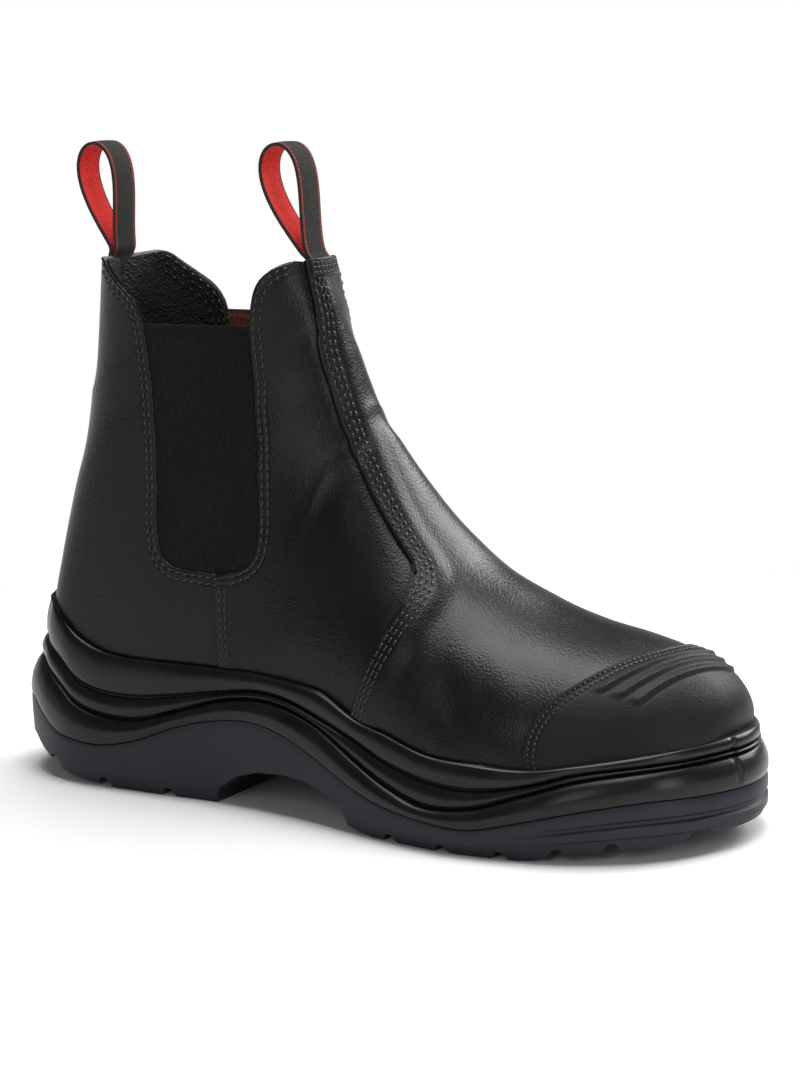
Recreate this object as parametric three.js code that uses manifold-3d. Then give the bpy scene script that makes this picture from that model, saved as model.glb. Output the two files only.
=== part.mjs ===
// Pull-on work boot with elastic side gores, right foot. Millimetres, +Z up, toe along +X, outer side along -Y.
// Lengths along the boot are measured from the back of the sole, and heights from the floor.
import * as THREE from 'three';
import { mergeVertices } from 'three/addons/utils/BufferGeometryUtils.js';
import Module from 'manifold-3d';

const wasm = await Module();
wasm.setup();

// Driving sizes of the whole boot
const SOLE_LENGTH = 305;
const SOLE_WIDTH = 116;
const WELT = 7;
const LAST_WIDTH = SOLE_WIDTH - 2 * WELT;
const INSTEP_HEIGHT = 148;
const SHAFT_RISE = 52;
const SEAT_HEIGHT = 30;
const CUP_HEIGHT = 52;

// Thicknesses and clearances
const LEATHER = 2.4;
const CAP_LEATHER = 1.5;
const CAP_RIB_HEIGHT = 1.2;
const GORE_ELASTIC = 1.4;
const GORE_RECESS = 0.5;
const INSOLE_THICKNESS = 3;
const CLEARANCE = 0.3;

// Tread
const LUG_NOTCH_HEIGHT = 3;
const LUG_NOTCH_WIDTH = 7;
const TREAD_EDGE = 3.2;
const TREAD_RECESS = 3.2;
const TREAD_BORDER = 17;
const TREAD_LIP = 5;
const CUP_SWELL = 2;
const MAIN_LUG_LENGTH = 9;
const MAIN_LUG_GAP = 4;

// Pull loops
const LOOP_WIDTH = 13;
const LOOP_WEBBING = 1.4;
const LOOP_HEIGHT = 41.5;
const LOOP_SPREAD = 17;
const LOOP_TAIL = 16;
const BACK_LOOP_LEAN = 8.2;
const FRONT_LOOP_LEAN = 11.5;

// How finely the curved forms are faceted
const SKIN_ROWS = 32;
const SKIN_COLUMNS = 13;
const ROW_EASE = 0.45;
const LOOP_STEPS = 30;
const SOLE_STEPS = 3;
const INSOLE_STEPS = 24;
// Share of the upper's sections that are open underneath
const OPEN_ROW_SHARE = 0.68;
// Between which rows of the upper's sections the skin passes the footbed at the toe and at the heel,
// and the row where the shaft starts
const TOE_ROWS = [0, 4];
const HEEL_ROWS = [10, 20];
const SHAFT_ROW = 14;

// Outline of the sole seen from above, clockwise from the heel back past the outer side to the toe.
// Columns: along (share of SOLE_LENGTH), across (share of SOLE_WIDTH).
const SOLE_OUTLINE = [
  [0.000, 0.000], [0.029, -0.216], [0.110, -0.336], [0.227, -0.353], [0.357, -0.349],
  [0.487, -0.397], [0.617, -0.474], [0.731, -0.500], [0.851, -0.435], [0.948, -0.259],
  [1.000, 0.026], [0.974, 0.276], [0.896, 0.431], [0.779, 0.483], [0.666, 0.453],
  [0.536, 0.353], [0.406, 0.315], [0.255, 0.330], [0.113, 0.336], [0.029, 0.218],
];

// Levels of the sole. Columns: along (share of SOLE_LENGTH), then shares of CUP_HEIGHT: where tread and
// cup meet inside, where they meet at the edge, lower groove, upper groove, rim. Last, lean: how far the
// rim stands inside the outline, in shares of SOLE_WIDTH.
const SOLE_SIDE = [
  [0.000, 0.327, 0.596, 0.885, 1.038, 1.346, 0.098],
  [0.049, 0.327, 0.567, 0.856, 1.010, 1.346, 0.086],
  [0.072, 0.327, 0.471, 0.798, 0.967, 1.317, 0.060],
  [0.098, 0.327, 0.375, 0.721, 0.904, 1.231, 0.046],
  [0.131, 0.317, 0.337, 0.610, 0.779, 1.106, 0.039],
  [0.174, 0.317, 0.327, 0.546, 0.712, 1.019, 0.034],
  [0.230, 0.317, 0.394, 0.546, 0.708, 0.996, 0.030],
  [0.295, 0.327, 0.538, 0.654, 0.760, 0.996, 0.028],
  [0.361, 0.375, 0.629, 0.773, 0.827, 0.996, 0.028],
  [0.413, 0.385, 0.646, 0.813, 0.869, 0.990, 0.028],
  [0.459, 0.385, 0.596, 0.794, 0.846, 0.977, 0.028],
  [0.508, 0.356, 0.487, 0.708, 0.765, 0.942, 0.029],
  [0.564, 0.269, 0.346, 0.538, 0.663, 0.808, 0.030],
  [0.616, 0.231, 0.254, 0.400, 0.550, 0.740, 0.031],
  [0.672, 0.198, 0.208, 0.304, 0.475, 0.650, 0.034],
  [0.734, 0.185, 0.192, 0.327, 0.448, 0.623, 0.040],
  [0.797, 0.240, 0.273, 0.442, 0.500, 0.612, 0.042],
  [0.859, 0.298, 0.356, 0.554, 0.596, 0.658, 0.040],
  [0.925, 0.356, 0.413, 0.612, 0.642, 0.712, 0.036],
  [1.000, 0.375, 0.410, 0.635, 0.667, 0.760, 0.034],
];

// Under side of the sole on the centre line. Columns: along, height (shares of SOLE_LENGTH).
const SOLE_FLOOR = [
  [-0.020, 0.0623],
  [0.000, 0.0557],
  [0.046, 0.0475],
  [0.066, 0.0344],
  [0.089, 0.0213],
  [0.108, 0.0125],
  [0.148, 0.0059],
  [0.190, 0.0000],
  [0.344, 0.0000],
  [0.348, 0.0180],
  [0.380, 0.0393],
  [0.413, 0.0492],
  [0.459, 0.0534],
  [0.492, 0.0511],
  [0.528, 0.0413],
  [0.551, 0.0295],
  [0.557, 0.0082],
  [0.597, 0.0000],
  [0.793, 0.0000],
  [0.826, 0.0059],
  [0.859, 0.0105],
  [0.902, 0.0151],
  [0.954, 0.0203],
  [0.993, 0.0249],
  [1.020, 0.0275],
];

// Where the tread's edge is notched between lugs, in shares of SOLE_LENGTH
const LUG_NOTCHES = [0.090, 0.174, 0.272, 0.622, 0.697, 0.770, 0.836, 0.893, 0.968];

// Fields of the tread that are recessed inside its border. Columns: from, to (shares of SOLE_LENGTH).
const TREAD_FIELDS = [
  [0.110, 0.310],
  [0.645, 0.900],
];

// Middles of the main lugs that cross those fields, in shares of SOLE_LENGTH
const MAIN_LUGS = [0.135, 0.210, 0.285, 0.672, 0.735, 0.798, 0.861];

// Footbed inside the cup. Columns: along (share of SOLE_LENGTH), height (share of SEAT_HEIGHT).
const FOOTBED = [
  [0.000, 1.033],
  [0.066, 1.017],
  [0.164, 1.000],
  [0.295, 0.967],
  [0.393, 0.893],
  [0.492, 0.793],
  [0.623, 0.627],
  [0.754, 0.573],
  [0.803, 0.607],
  [0.852, 0.667],
  [0.934, 0.783],
  [1.000, 0.850],
];

// Sections of the upper, fanned from the toe's tip over the instep to the top of the shaft. Each lies in
// a plane across the boot, through a ridge point in front or above and a back point behind or below.
// Columns: ridge along, ridge height, back along, back height, half width, lift of the widest place,
// fullness at the ridge, fullness at the back, ridge across, middle across, back across.
// Along is a share of SOLE_LENGTH. A height is a share of INSTEP_HEIGHT, and past 1 what is over counts
// as a share of SHAFT_RISE. Widths and places across are shares of LAST_WIDTH.
const UPPER_SECTIONS = [
  [0.964, 0.054, 0.866, -0.223, 0.186, 0.00, 0.02, 0.05, 0.078, 0.064, 0.064],
  [0.967, 0.162, 0.859, -0.223, 0.211, 0.02, 0.02, 0.05, 0.078, 0.062, 0.062],
  [0.974, 0.253, 0.849, -0.230, 0.253, 0.04, 0.02, 0.05, 0.078, 0.059, 0.059],
  [0.972, 0.332, 0.839, -0.236, 0.315, 0.06, 0.02, 0.05, 0.078, 0.049, 0.049],
  [0.943, 0.395, 0.823, -0.236, 0.375, 0.08, 0.03, 0.05, 0.078, 0.034, 0.034],
  [0.900, 0.439, 0.803, -0.236, 0.422, 0.10, 0.03, 0.05, 0.078, 0.022, 0.022],
  [0.846, 0.468, 0.777, -0.236, 0.459, 0.10, 0.03, 0.05, 0.075, 0.006, 0.006],
  [0.782, 0.495, 0.738, -0.230, 0.484, 0.10, 0.02, 0.05, 0.069, -0.006, -0.006],
  [0.711, 0.547, 0.689, -0.223, 0.490, 0.08, 0.01, 0.05, 0.059, -0.019, -0.019],
  [0.649, 0.624, 0.636, -0.216, 0.474, 0.05, 0.00, 0.05, 0.049, -0.028, -0.028],
  [0.598, 0.723, 0.577, -0.209, 0.431, 0.00, 0.00, 0.05, 0.039, -0.039, -0.039],
  [0.561, 0.821, 0.505, -0.203, 0.387, -0.05, 0.00, 0.06, 0.034, -0.039, -0.039],
  [0.530, 0.916, 0.420, -0.189, 0.353, -0.10, 0.00, 0.08, 0.029, -0.033, -0.033],
  [0.506, 1.000, 0.321, -0.169, 0.333, -0.16, 0.01, 0.09, 0.025, -0.022, -0.022],
  [0.491, 1.212, 0.216, -0.108, 0.333, -0.22, 0.02, 0.10, 0.020, -0.014, -0.014],
  [0.481, 1.385, 0.121, 0.014, 0.343, -0.27, 0.03, 0.11, 0.015, -0.008, -0.008],
  [0.472, 1.519, 0.061, 0.203, 0.338, -0.30, 0.04, 0.11, 0.010, 0.000, 0.000],
  [0.466, 1.615, 0.053, 0.378, 0.326, -0.28, 0.05, 0.11, 0.010, 0.000, 0.000],
  [0.461, 1.712, 0.066, 0.554, 0.314, -0.22, 0.06, 0.10, 0.010, 0.000, 0.000],
  [0.455, 1.808, 0.084, 0.730, 0.302, -0.15, 0.06, 0.09, 0.005, 0.000, 0.000],
  [0.449, 1.904, 0.104, 0.892, 0.292, -0.08, 0.07, 0.08, 0.005, 0.000, 0.000],
  [0.443, 2.038, 0.119, 1.135, 0.286, -0.04, 0.07, 0.08, 0.000, 0.000, 0.000],
  [0.436, 2.212, 0.128, 1.577, 0.284, 0.00, 0.08, 0.08, 0.000, 0.000, 0.000],
  [0.430, 2.423, 0.135, 2.019, 0.279, 0.00, 0.08, 0.08, 0.000, 0.000, 0.000],
  [0.423, 2.673, 0.141, 2.481, 0.279, 0.00, 0.08, 0.08, 0.000, 0.000, 0.000],
];

// Top edge of the shaft between and over the tabs, from back to front.
// Columns: along (share of SOLE_LENGTH), height as in the sections.
const COLLAR_EDGE = [
  [0.0900, 2.050],
  [0.1480, 2.040],
  [0.1700, 2.010],
  [0.1765, 1.965],
  [0.1990, 1.855],
  [0.2210, 1.770],
  [0.2340, 1.655],
  [0.2390, 1.580],
  [0.3850, 1.590],
  [0.3900, 1.770],
  [0.3990, 1.910],
  [0.4130, 1.980],
  [0.4330, 2.025],
  [0.4600, 2.040],
  [0.5200, 2.030],
];

// Window for a gore. Columns: along (share of SOLE_LENGTH), height as in the sections. It runs out at
// the top through the collar's edge.
const GORE_WINDOW = [
  [0.2400, 1.750],
  [0.2400, 1.560],
  [0.2490, 1.230],
  [0.2590, 0.912],
  [0.2585, 0.764],
  [0.2610, 0.649],
  [0.2745, 0.605],
  [0.3020, 0.591],
  [0.3310, 0.590],
  [0.3690, 0.600],
  [0.3940, 0.622],
  [0.4035, 0.660],
  [0.4020, 0.760],
  [0.3990, 0.851],
  [0.3910, 1.000],
  [0.3870, 1.420],
  [0.3860, 1.570],
  [0.3860, 1.750],
];

// Back edge of the toe cap seen from the side. Columns: along, height (shares of SOLE_LENGTH).
const CAP_EDGE = [
  [0.7984, 0.0393],
  [0.7928, 0.0984],
  [0.7908, 0.1246],
  [0.7967, 0.1508],
  [0.8115, 0.1770],
  [0.8344, 0.1967],
  [0.8623, 0.2131],
  [0.8885, 0.2279],
  [0.9016, 0.2492],
];

// Ribs across the toe cap. Each follows the sections at the angle where it lies furthest forward, and
// runs back from there to both sides. Columns: section at its front edge, length in sections.
const CAP_RIBS = [
  [4.22, 0.34],
  [3.92, 0.30],
  [3.60, 0.30],
];
const CAP_RIB_EDGE = 0.25;
const CAP_RIB_FRONT = 0.87;
const CAP_RIB_SWEEP = 0.46;
const CAP_RIB_REACH = 0.95;
// Sections that the cap's outside is faceted at, and from, to and steps where the ribs lie
const CAP_ROWS = [1.3, 1.8, 2.4, 3.0, 3.4, 6.0, 6.6, 7.5];
const CAP_RIB_ROWS = [3.6, 5.7, 16];

// Shape of a loop: where its two limbs part, in radians round it, and how full its curve is
const LOOP_PINCH = 0.85;
const LOOP_FULLNESS = 0.69;

const mix = (from, to, share) => from + (to - from) * share;

// Small step for slopes
const STEP = 1e-3;

const heightAt = (share) => INSTEP_HEIGHT * Math.min(share, 1) + SHAFT_RISE * Math.max(share - 1, 0);

// Smooth curve through the rows of a table: every column at the row number t
function tableAt(table, t) {
  const last = table.length - 1;
  const index = Math.min(Math.max(Math.floor(t), 0), last - 1);
  const f = t - index;
  const from = table[index];
  const to = table[index + 1];
  const before = index > 0 ? table[index - 1] : from.map((v, c) => 2 * v - to[c]);
  const after = index + 2 <= last ? table[index + 2] : to.map((v, c) => 2 * v - from[c]);
  return from.map((v, c) => {
    const slopeIn = (to[c] - before[c]) / 2;
    const slopeOut = (after[c] - v) / 2;
    const rise = to[c] - v;
    return v + f * (slopeIn + f * (3 * rise - 2 * slopeIn - slopeOut + f * (slopeIn + slopeOut - 2 * rise)));
  });
}

// Smooth value of a table whose first column rises, at the place x in that column
function lookUp(table, x) {
  const last = table.length - 1;
  if (x <= table[0][0]) {
    return table[0];
  }
  if (x >= table[last][0]) {
    return table[last];
  }
  const index = table.findIndex((row, i) => i < last && x < table[i + 1][0]);
  const from = table[index];
  const to = table[index + 1];
  const step = to[0] - from[0];
  const f = (x - from[0]) / step;
  const before = table[Math.max(index - 1, 0)];
  const after = table[Math.min(index + 2, last)];
  return from.map((v, c) => {
    const slopeIn = step * (to[c] - before[c]) / (to[0] - before[0]);
    const slopeOut = step * (after[c] - v) / (after[0] - from[0]);
    const rise = to[c] - v;
    return v + f * (slopeIn + f * (3 * rise - 2 * slopeIn - slopeOut + f * (slopeIn + slopeOut - 2 * rise)));
  });
}

const footbedAt = (x) => SEAT_HEIGHT * lookUp(FOOTBED, x / SOLE_LENGTH)[1];

// Closed mesh gathered face by face, with shared corners welded
class Facets {
  constructor() {
    this.places = [];
    this.faces = [];
    this.seen = new Map();
  }

  corner(p) {
    const key = [p.x, p.y, p.z].map((v) => Math.round(v * 2000)).join();
    if (!this.seen.has(key)) {
      this.seen.set(key, this.places.length / 3);
      this.places.push(p.x, p.y, p.z);
    }
    return this.seen.get(key);
  }

  triangle(a, b, c) {
    const [i, j, k] = [a, b, c].map((p) => this.corner(p));
    if (i !== j && j !== k && k !== i) {
      this.faces.push(i, j, k);
    }
  }

  quad(a, b, c, d) {
    this.triangle(a, b, c);
    this.triangle(a, c, d);
  }

  solid() {
    const geometry = new THREE.BufferGeometry();
    geometry.setAttribute('position', new THREE.Float32BufferAttribute(this.places, 3));
    geometry.setIndex(this.faces);
    return solidOf(geometry);
  }
}

// A closed three.js geometry as a solid that can be joined and cut
function solidOf(geometry) {
  geometry.deleteAttribute('normal');
  geometry.deleteAttribute('uv');
  const welded = mergeVertices(geometry, 1e-4);
  return new wasm.Manifold(new wasm.Mesh({
    numProp: 3,
    vertProperties: new Float32Array(welded.attributes.position.array),
    triVerts: new Uint32Array(welded.index.array),
  }));
}

// A prism with its outline seen from the side, between two places across
function sidePrism(outline, fromY, toY) {
  const shape = new THREE.Shape(outline.map(([x, z]) => new THREE.Vector2(x, z)));
  const geometry = new THREE.ExtrudeGeometry(shape, { depth: toY - fromY, bevelEnabled: false });
  geometry.rotateX(Math.PI / 2);
  geometry.translate(0, toY, 0);
  return solidOf(geometry);
}

// A prism with its outline seen from above, between two heights
function planPrism(outline, fromZ, toZ) {
  const shape = new THREE.Shape(outline.map(([x, y]) => new THREE.Vector2(x, y)));
  const geometry = new THREE.ExtrudeGeometry(shape, { depth: toZ - fromZ, bevelEnabled: false });
  geometry.translate(0, 0, fromZ);
  return solidOf(geometry);
}

// Section of the upper at row number u, in millimetres
function sectionAt(u) {
  const row = tableAt(UPPER_SECTIONS, u);
  return {
    ridgeX: row[0] * SOLE_LENGTH,
    ridgeZ: heightAt(row[1]),
    backX: row[2] * SOLE_LENGTH,
    backZ: heightAt(row[3]),
    half: row[4] * LAST_WIDTH,
    lift: row[5],
    fullRidge: row[6],
    fullBack: row[7],
    ridgeY: row[8] * LAST_WIDTH,
    middleY: row[9] * LAST_WIDTH,
    backY: row[10] * LAST_WIDTH,
  };
}

// Point of the upper's outside: angle 0 is the ridge, half a turn either way the back
function skinPoint(u, angle) {
  const s = sectionAt(u);
  const cos = Math.cos(angle);
  const sin = Math.sin(angle);
  const share = 0.5 + 0.5 * (cos + s.lift * sin * sin);
  const full = s.fullRidge + (s.fullBack - s.fullRidge) * (1 - cos) / 2;
  const side = (sin + full * Math.sin(3 * angle)) / (1 - full);
  const end = cos > 0 ? s.ridgeY : s.backY;
  return new THREE.Vector3(
    s.backX + share * (s.ridgeX - s.backX),
    s.middleY + (end - s.middleY) * cos * cos + s.half * side,
    s.backZ + share * (s.ridgeZ - s.backZ),
  );
}

// The same point moved outwards square to the skin
function offsetPoint(u, angle, offset) {
  const alongSkin = skinPoint(u + STEP, angle).sub(skinPoint(u - STEP, angle));
  const roundSkin = skinPoint(u, angle + STEP).sub(skinPoint(u, angle - STEP));
  return skinPoint(u, angle).addScaledVector(roundSkin.cross(alongSkin).normalize(), offset);
}

// Where a test that starts true turns false between two values
function turningPoint(from, to, holds) {
  let low = from;
  let high = to;
  for (let i = 0; i < 50; i += 1) {
    const middle = (low + high) / 2;
    if (holds(middle)) {
      low = middle;
    } else {
      high = middle;
    }
  }
  return (low + high) / 2;
}

// Sections that a body of the upper is faceted at, from the first one over the footbed to the last.
// They lie closer where the skin meets the footbed at the toe and at the back of the heel.
function sectionRows(firstRow, closeRow) {
  const lastRow = UPPER_SECTIONS.length - 1;
  const openCount = Math.round(SKIN_ROWS * OPEN_ROW_SHARE);
  const rows = [];
  for (let i = 0; i < openCount; i += 1) {
    const t = i / openCount;
    rows.push(mix(firstRow, closeRow, mix(t, (1 - Math.cos(Math.PI * t)) / 2, ROW_EASE)));
  }
  for (let i = openCount; i <= SKIN_ROWS; i += 1) {
    rows.push(mix(closeRow, lastRow, (i - openCount) / (SKIN_ROWS - openCount)));
  }
  return rows;
}

// Body inside the skin at an offset, down to just over the footbed, and straight down from there by drop.
// The offset may be a function of section and angle. Without a list of sections it runs past the top of
// the shaft.
function lastBody(offset, drop, chosenRows) {
  const offsetAt = typeof offset === 'function' ? offset : () => offset;
  const above = (p) => p.z - footbedAt(p.x) - CLEARANCE;
  const firstRow = turningPoint(...TOE_ROWS, (u) => above(skinPoint(u, 0)) < 0);
  const closeRow = turningPoint(...HEEL_ROWS, (u) => above(skinPoint(u, Math.PI)) < 0);
  const sections = chosenRows ? [firstRow, ...chosenRows] : sectionRows(firstRow, closeRow);
  const rows = sections.map((u, i) => {
    let reach = 0;
    if (u >= closeRow) {
      reach = Math.PI;
    } else if (i > 0) {
      reach = turningPoint(0, Math.PI, (angle) => above(skinPoint(u, angle)) > 0);
    }
    const row = [];
    for (let j = -SKIN_COLUMNS; j <= SKIN_COLUMNS; j += 1) {
      const angle = reach * j / SKIN_COLUMNS;
      row.push(offsetPoint(u, angle, offsetAt(u, angle)));
    }
    const down = new THREE.Vector3(0, 0, u < closeRow ? -drop : 0);
    return [row[0].clone().add(down), ...row, row[row.length - 1].clone().add(down)];
  });
  const facets = new Facets();
  const width = 2 * SKIN_COLUMNS + 2;
  for (let i = 0; i + 1 < rows.length; i += 1) {
    const [near, far] = [rows[i], rows[i + 1]];
    for (let j = 0; j < width; j += 1) {
      facets.quad(near[j], near[j + 1], far[j + 1], far[j]);
    }
    facets.quad(near[width], near[0], far[0], far[width]);
  }
  const top = rows[rows.length - 1];
  for (let j = 0; j < SKIN_COLUMNS; j += 1) {
    const right = width / 2 + j;
    const left = width / 2 - j;
    facets.quad(top[right], top[right + 1], top[left - 1], top[left]);
  }
  return facets.solid();
}

// How far along the ridge (angle 0) or the back (angle half a turn) of the shaft is at a height
function placeAtHeight(angle, height) {
  const u = turningPoint(SHAFT_ROW, UPPER_SECTIONS.length - 1, (row) => skinPoint(row, angle).z < height);
  return skinPoint(u, angle).x;
}

// Outline of the sole as stations with the direction outwards
function soleStations() {
  const count = SOLE_OUTLINE.length;
  const wrapped = (i) => SOLE_OUTLINE[((i % count) + count) % count];
  const place = (t) => {
    const i = Math.floor(t);
    const row = tableAt([wrapped(i - 1), wrapped(i), wrapped(i + 1), wrapped(i + 2)], 1 + t - i);
    return new THREE.Vector2(row[0] * SOLE_LENGTH, row[1] * SOLE_WIDTH);
  };
  const stations = [];
  for (let n = 0; n < count * SOLE_STEPS; n += 1) {
    const t = n / SOLE_STEPS;
    const along = place(t + STEP).sub(place(t - STEP)).normalize();
    stations.push({ at: place(t), out: new THREE.Vector2(along.y, -along.x) });
  }
  return stations;
}

const STATIONS = soleStations();

function outlineAt(offset) {
  return STATIONS.map(({ at, out }) => [at.x + out.x * offset, at.y + out.y * offset]);
}

function sideAt(x) {
  const row = lookUp(SOLE_SIDE, x / SOLE_LENGTH);
  return {
    plate: row[1] * CUP_HEIGHT,
    split: row[2] * CUP_HEIGHT,
    low: row[3] * CUP_HEIGHT,
    high: row[4] * CUP_HEIGHT,
    rim: row[5] * CUP_HEIGHT,
    lean: row[6] * SOLE_WIDTH,
  };
}

// Solid between closed rings round the sole: each ring is a list of points, one for each station, and
// ends are closed by strips across from the outer to the inner side
function ringLoft(rings) {
  const facets = new Facets();
  const count = STATIONS.length;
  for (let r = 0; r + 1 < rings.length; r += 1) {
    for (let i = 0; i < count; i += 1) {
      const k = (i + 1) % count;
      const [a, b, c, d] = [rings[r][i], rings[r][k], rings[r + 1][k], rings[r + 1][i]];
      // Faces of two pieces that meet are split the same way, whichever of them the ring belongs to
      if (b.z < c.z) {
        facets.quad(b, c, d, a);
      } else {
        facets.quad(a, b, c, d);
      }
    }
  }
  const floor = rings[0];
  const roof = rings[rings.length - 1];
  const half = count / 2;
  for (let i = 0; i < half; i += 1) {
    const [near, far] = [i, i + 1];
    const [nearBack, farBack] = [(count - i) % count, count - i - 1];
    facets.quad(floor[near], floor[nearBack], floor[farBack], floor[far]);
    facets.quad(roof[near], roof[far], roof[farBack], roof[nearBack]);
  }
  return facets.solid();
}

const ringOf = (profile) => STATIONS.map(({ at, out }) => {
  const [height, offset] = profile(sideAt(at.x), at.x);
  return new THREE.Vector3(at.x + out.x * offset, at.y + out.y * offset, height);
});

// The cup's side: bulges between the split, the two grooves and the rim, leaning in as it rises.
// Columns: band it lies in, share of that band's height, how far it swells out in shares of CUP_SWELL.
const CUP_BANDS = [
  ['split', 'low', 0.18, 0.60], ['split', 'low', 0.50, 1.00],
  ['split', 'low', 0.86, 0.45], ['split', 'low', 1.00, -0.60],
  ['low', 'high', 0.22, 0.20], ['low', 'high', 0.50, 0.50], ['low', 'high', 0.80, 0.15],
  ['low', 'high', 1.00, -0.60],
  ['high', 'rim', 0.16, 0.35], ['high', 'rim', 0.50, 0.65], ['high', 'rim', 0.88, 0.30],
  ['high', 'rim', 1.00, -0.30],
];

// The cup leans in sooner than a straight side would
const CUP_LEAN_CURVE = 0.8;

// Solid of the cup without its hollow, grown by a clearance at its rim
function cupBlock(growth) {
  const rings = CUP_BANDS.map(([from, to, share, swell]) => ringOf((side) => {
    const height = mix(side[from], side[to], share);
    const leaning = side.lean * ((height - side.split) / (side.rim - side.split)) ** CUP_LEAN_CURVE;
    return [height + growth, swell * CUP_SWELL - leaning + growth];
  }));
  const under = [
    ringOf((side) => [side.plate + CLEARANCE, -TREAD_LIP - CLEARANCE]),
    ringOf((side) => [side.split + CLEARANCE, -1.5 * CLEARANCE]),
  ];
  return ringLoft([...under, ...rings]);
}

function makeMidsole() {
  return cupBlock(0).subtract(lastBody(CLEARANCE, CLEARANCE));
}

// Height of the sole's under side on the centre line
function floorAt(x) {
  const share = x / SOLE_LENGTH;
  const index = SOLE_FLOOR.findIndex((row, i) => i > 0 && share < row[0]);
  const [from, to] = [SOLE_FLOOR[index - 1], SOLE_FLOOR[index]];
  return mix(from[1], to[1], (share - from[0]) / (to[0] - from[0])) * SOLE_LENGTH;
}

// A notch across the tread, wider at the ground
function lugNotch(share) {
  const x = share * SOLE_LENGTH;
  const roof = floorAt(x) + LUG_NOTCH_HEIGHT;
  const mouth = roof - 2 * LUG_NOTCH_HEIGHT;
  const half = LUG_NOTCH_WIDTH / 2;
  return sidePrism([
    [x - 1.5 * half, mouth], [x + 1.5 * half, mouth], [x + half / 3, roof], [x - half / 3, roof],
  ], -SOLE_WIDTH, SOLE_WIDTH);
}

// What the recessed fields take from the tread, with the main lugs left standing
function treadRecess([from, to]) {
  const under = SOLE_FLOOR.filter(([share]) => share > from && share < to).map(([share]) => share);
  const roof = [from, ...under, to].map((share) => {
    const x = share * SOLE_LENGTH;
    return [x, floorAt(x) + TREAD_RECESS];
  });
  const field = sidePrism([...roof, [to * SOLE_LENGTH, -TREAD_RECESS], [from * SOLE_LENGTH, -TREAD_RECESS]],
    -SOLE_WIDTH, SOLE_WIDTH).intersect(planPrism(outlineAt(-TREAD_BORDER), -2 * TREAD_RECESS, CUP_HEIGHT));
  const lugArea = planPrism(outlineAt(-TREAD_BORDER - MAIN_LUG_GAP), -2 * TREAD_RECESS, CUP_HEIGHT);
  return MAIN_LUGS.reduce((rest, share) => {
    const x = share * SOLE_LENGTH;
    const bar = sidePrism([
      [x - MAIN_LUG_LENGTH / 2, -TREAD_RECESS], [x + MAIN_LUG_LENGTH / 2, -TREAD_RECESS],
      [x + MAIN_LUG_LENGTH / 2, CUP_HEIGHT], [x - MAIN_LUG_LENGTH / 2, CUP_HEIGHT],
    ], -SOLE_WIDTH, SOLE_WIDTH);
    return rest.subtract(bar.intersect(lugArea));
  }, field);
}

function makeOutsole() {
  const rings = [
    ringOf(() => [0, -TREAD_EDGE]),
    ringOf((side) => [0.30 * side.split, -0.4 * TREAD_EDGE]),
    ringOf((side) => [0.80 * side.split, 0]),
    ringOf((side) => [side.split - CLEARANCE / 2, -CLEARANCE]),
    ringOf((side) => [side.plate, -TREAD_LIP]),
  ];
  const under = SOLE_FLOOR.map(([x, z]) => [x * SOLE_LENGTH, z * SOLE_LENGTH]);
  const below = sidePrism([...under, [1.02 * SOLE_LENGTH, -CUP_HEIGHT], [-0.02 * SOLE_LENGTH, -CUP_HEIGHT]],
    -SOLE_WIDTH, SOLE_WIDTH);
  const cuts = [...LUG_NOTCHES.map(lugNotch), ...TREAD_FIELDS.map(treadRecess)];
  return cuts.reduce((tread, cut) => tread.subtract(cut), ringLoft(rings).subtract(below));
}

function collarPrism() {
  const edge = COLLAR_EDGE.map(([x, z]) => [x * SOLE_LENGTH, heightAt(z)]);
  return sidePrism([[0, edge[0][1]], ...edge, [0.7 * SOLE_LENGTH, edge[edge.length - 1][1]],
    [0.7 * SOLE_LENGTH, heightAt(4)], [0, heightAt(4)]], -SOLE_WIDTH, SOLE_WIDTH);
}

const windowOutline = GORE_WINDOW.map(([x, z]) => [x * SOLE_LENGTH, heightAt(z)]);

// The window's outline drawn in by the clearance on every side
function goreOutline() {
  return windowOutline.map(([x, z], i) => {
    const before = windowOutline[Math.max(i - 1, 0)];
    const after = windowOutline[Math.min(i + 1, windowOutline.length - 1)];
    const along = new THREE.Vector2(after[0] - before[0], after[1] - before[1]).normalize();
    return [x - along.y * CLEARANCE, z + along.x * CLEARANCE];
  });
}

function makeUpper() {
  const shell = lastBody(0, 0).subtract(lastBody(-LEATHER, LEATHER));
  const window = sidePrism(windowOutline, -SOLE_WIDTH, SOLE_WIDTH);
  return shell.subtract(collarPrism()).subtract(window);
}

function makeGore(side) {
  const sheet = lastBody(-GORE_RECESS, 0).subtract(lastBody(-GORE_RECESS - GORE_ELASTIC, LEATHER));
  const panel = sidePrism(goreOutline(), Math.min(side * SOLE_WIDTH, side), Math.max(side * SOLE_WIDTH, side));
  return sheet.intersect(panel).subtract(collarPrism());
}

// How far the toe cap's ribs stand up at a section and angle: each rises gently from behind and drops
// at its front edge
function ribAt(u, angle) {
  const forward = u - CAP_RIB_SWEEP * (angle - CAP_RIB_FRONT) ** 2;
  const fade = Math.max(0, 1 - (angle / CAP_RIB_REACH) ** 6);
  const raise = CAP_RIBS.map(([front, length]) => {
    const t = (forward - front) / length;
    return t > 0 && t < 1 ? Math.min(1, t / CAP_RIB_EDGE) * (1 - t) : 0;
  });
  return CAP_RIB_HEIGHT * fade * Math.max(...raise);
}

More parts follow.
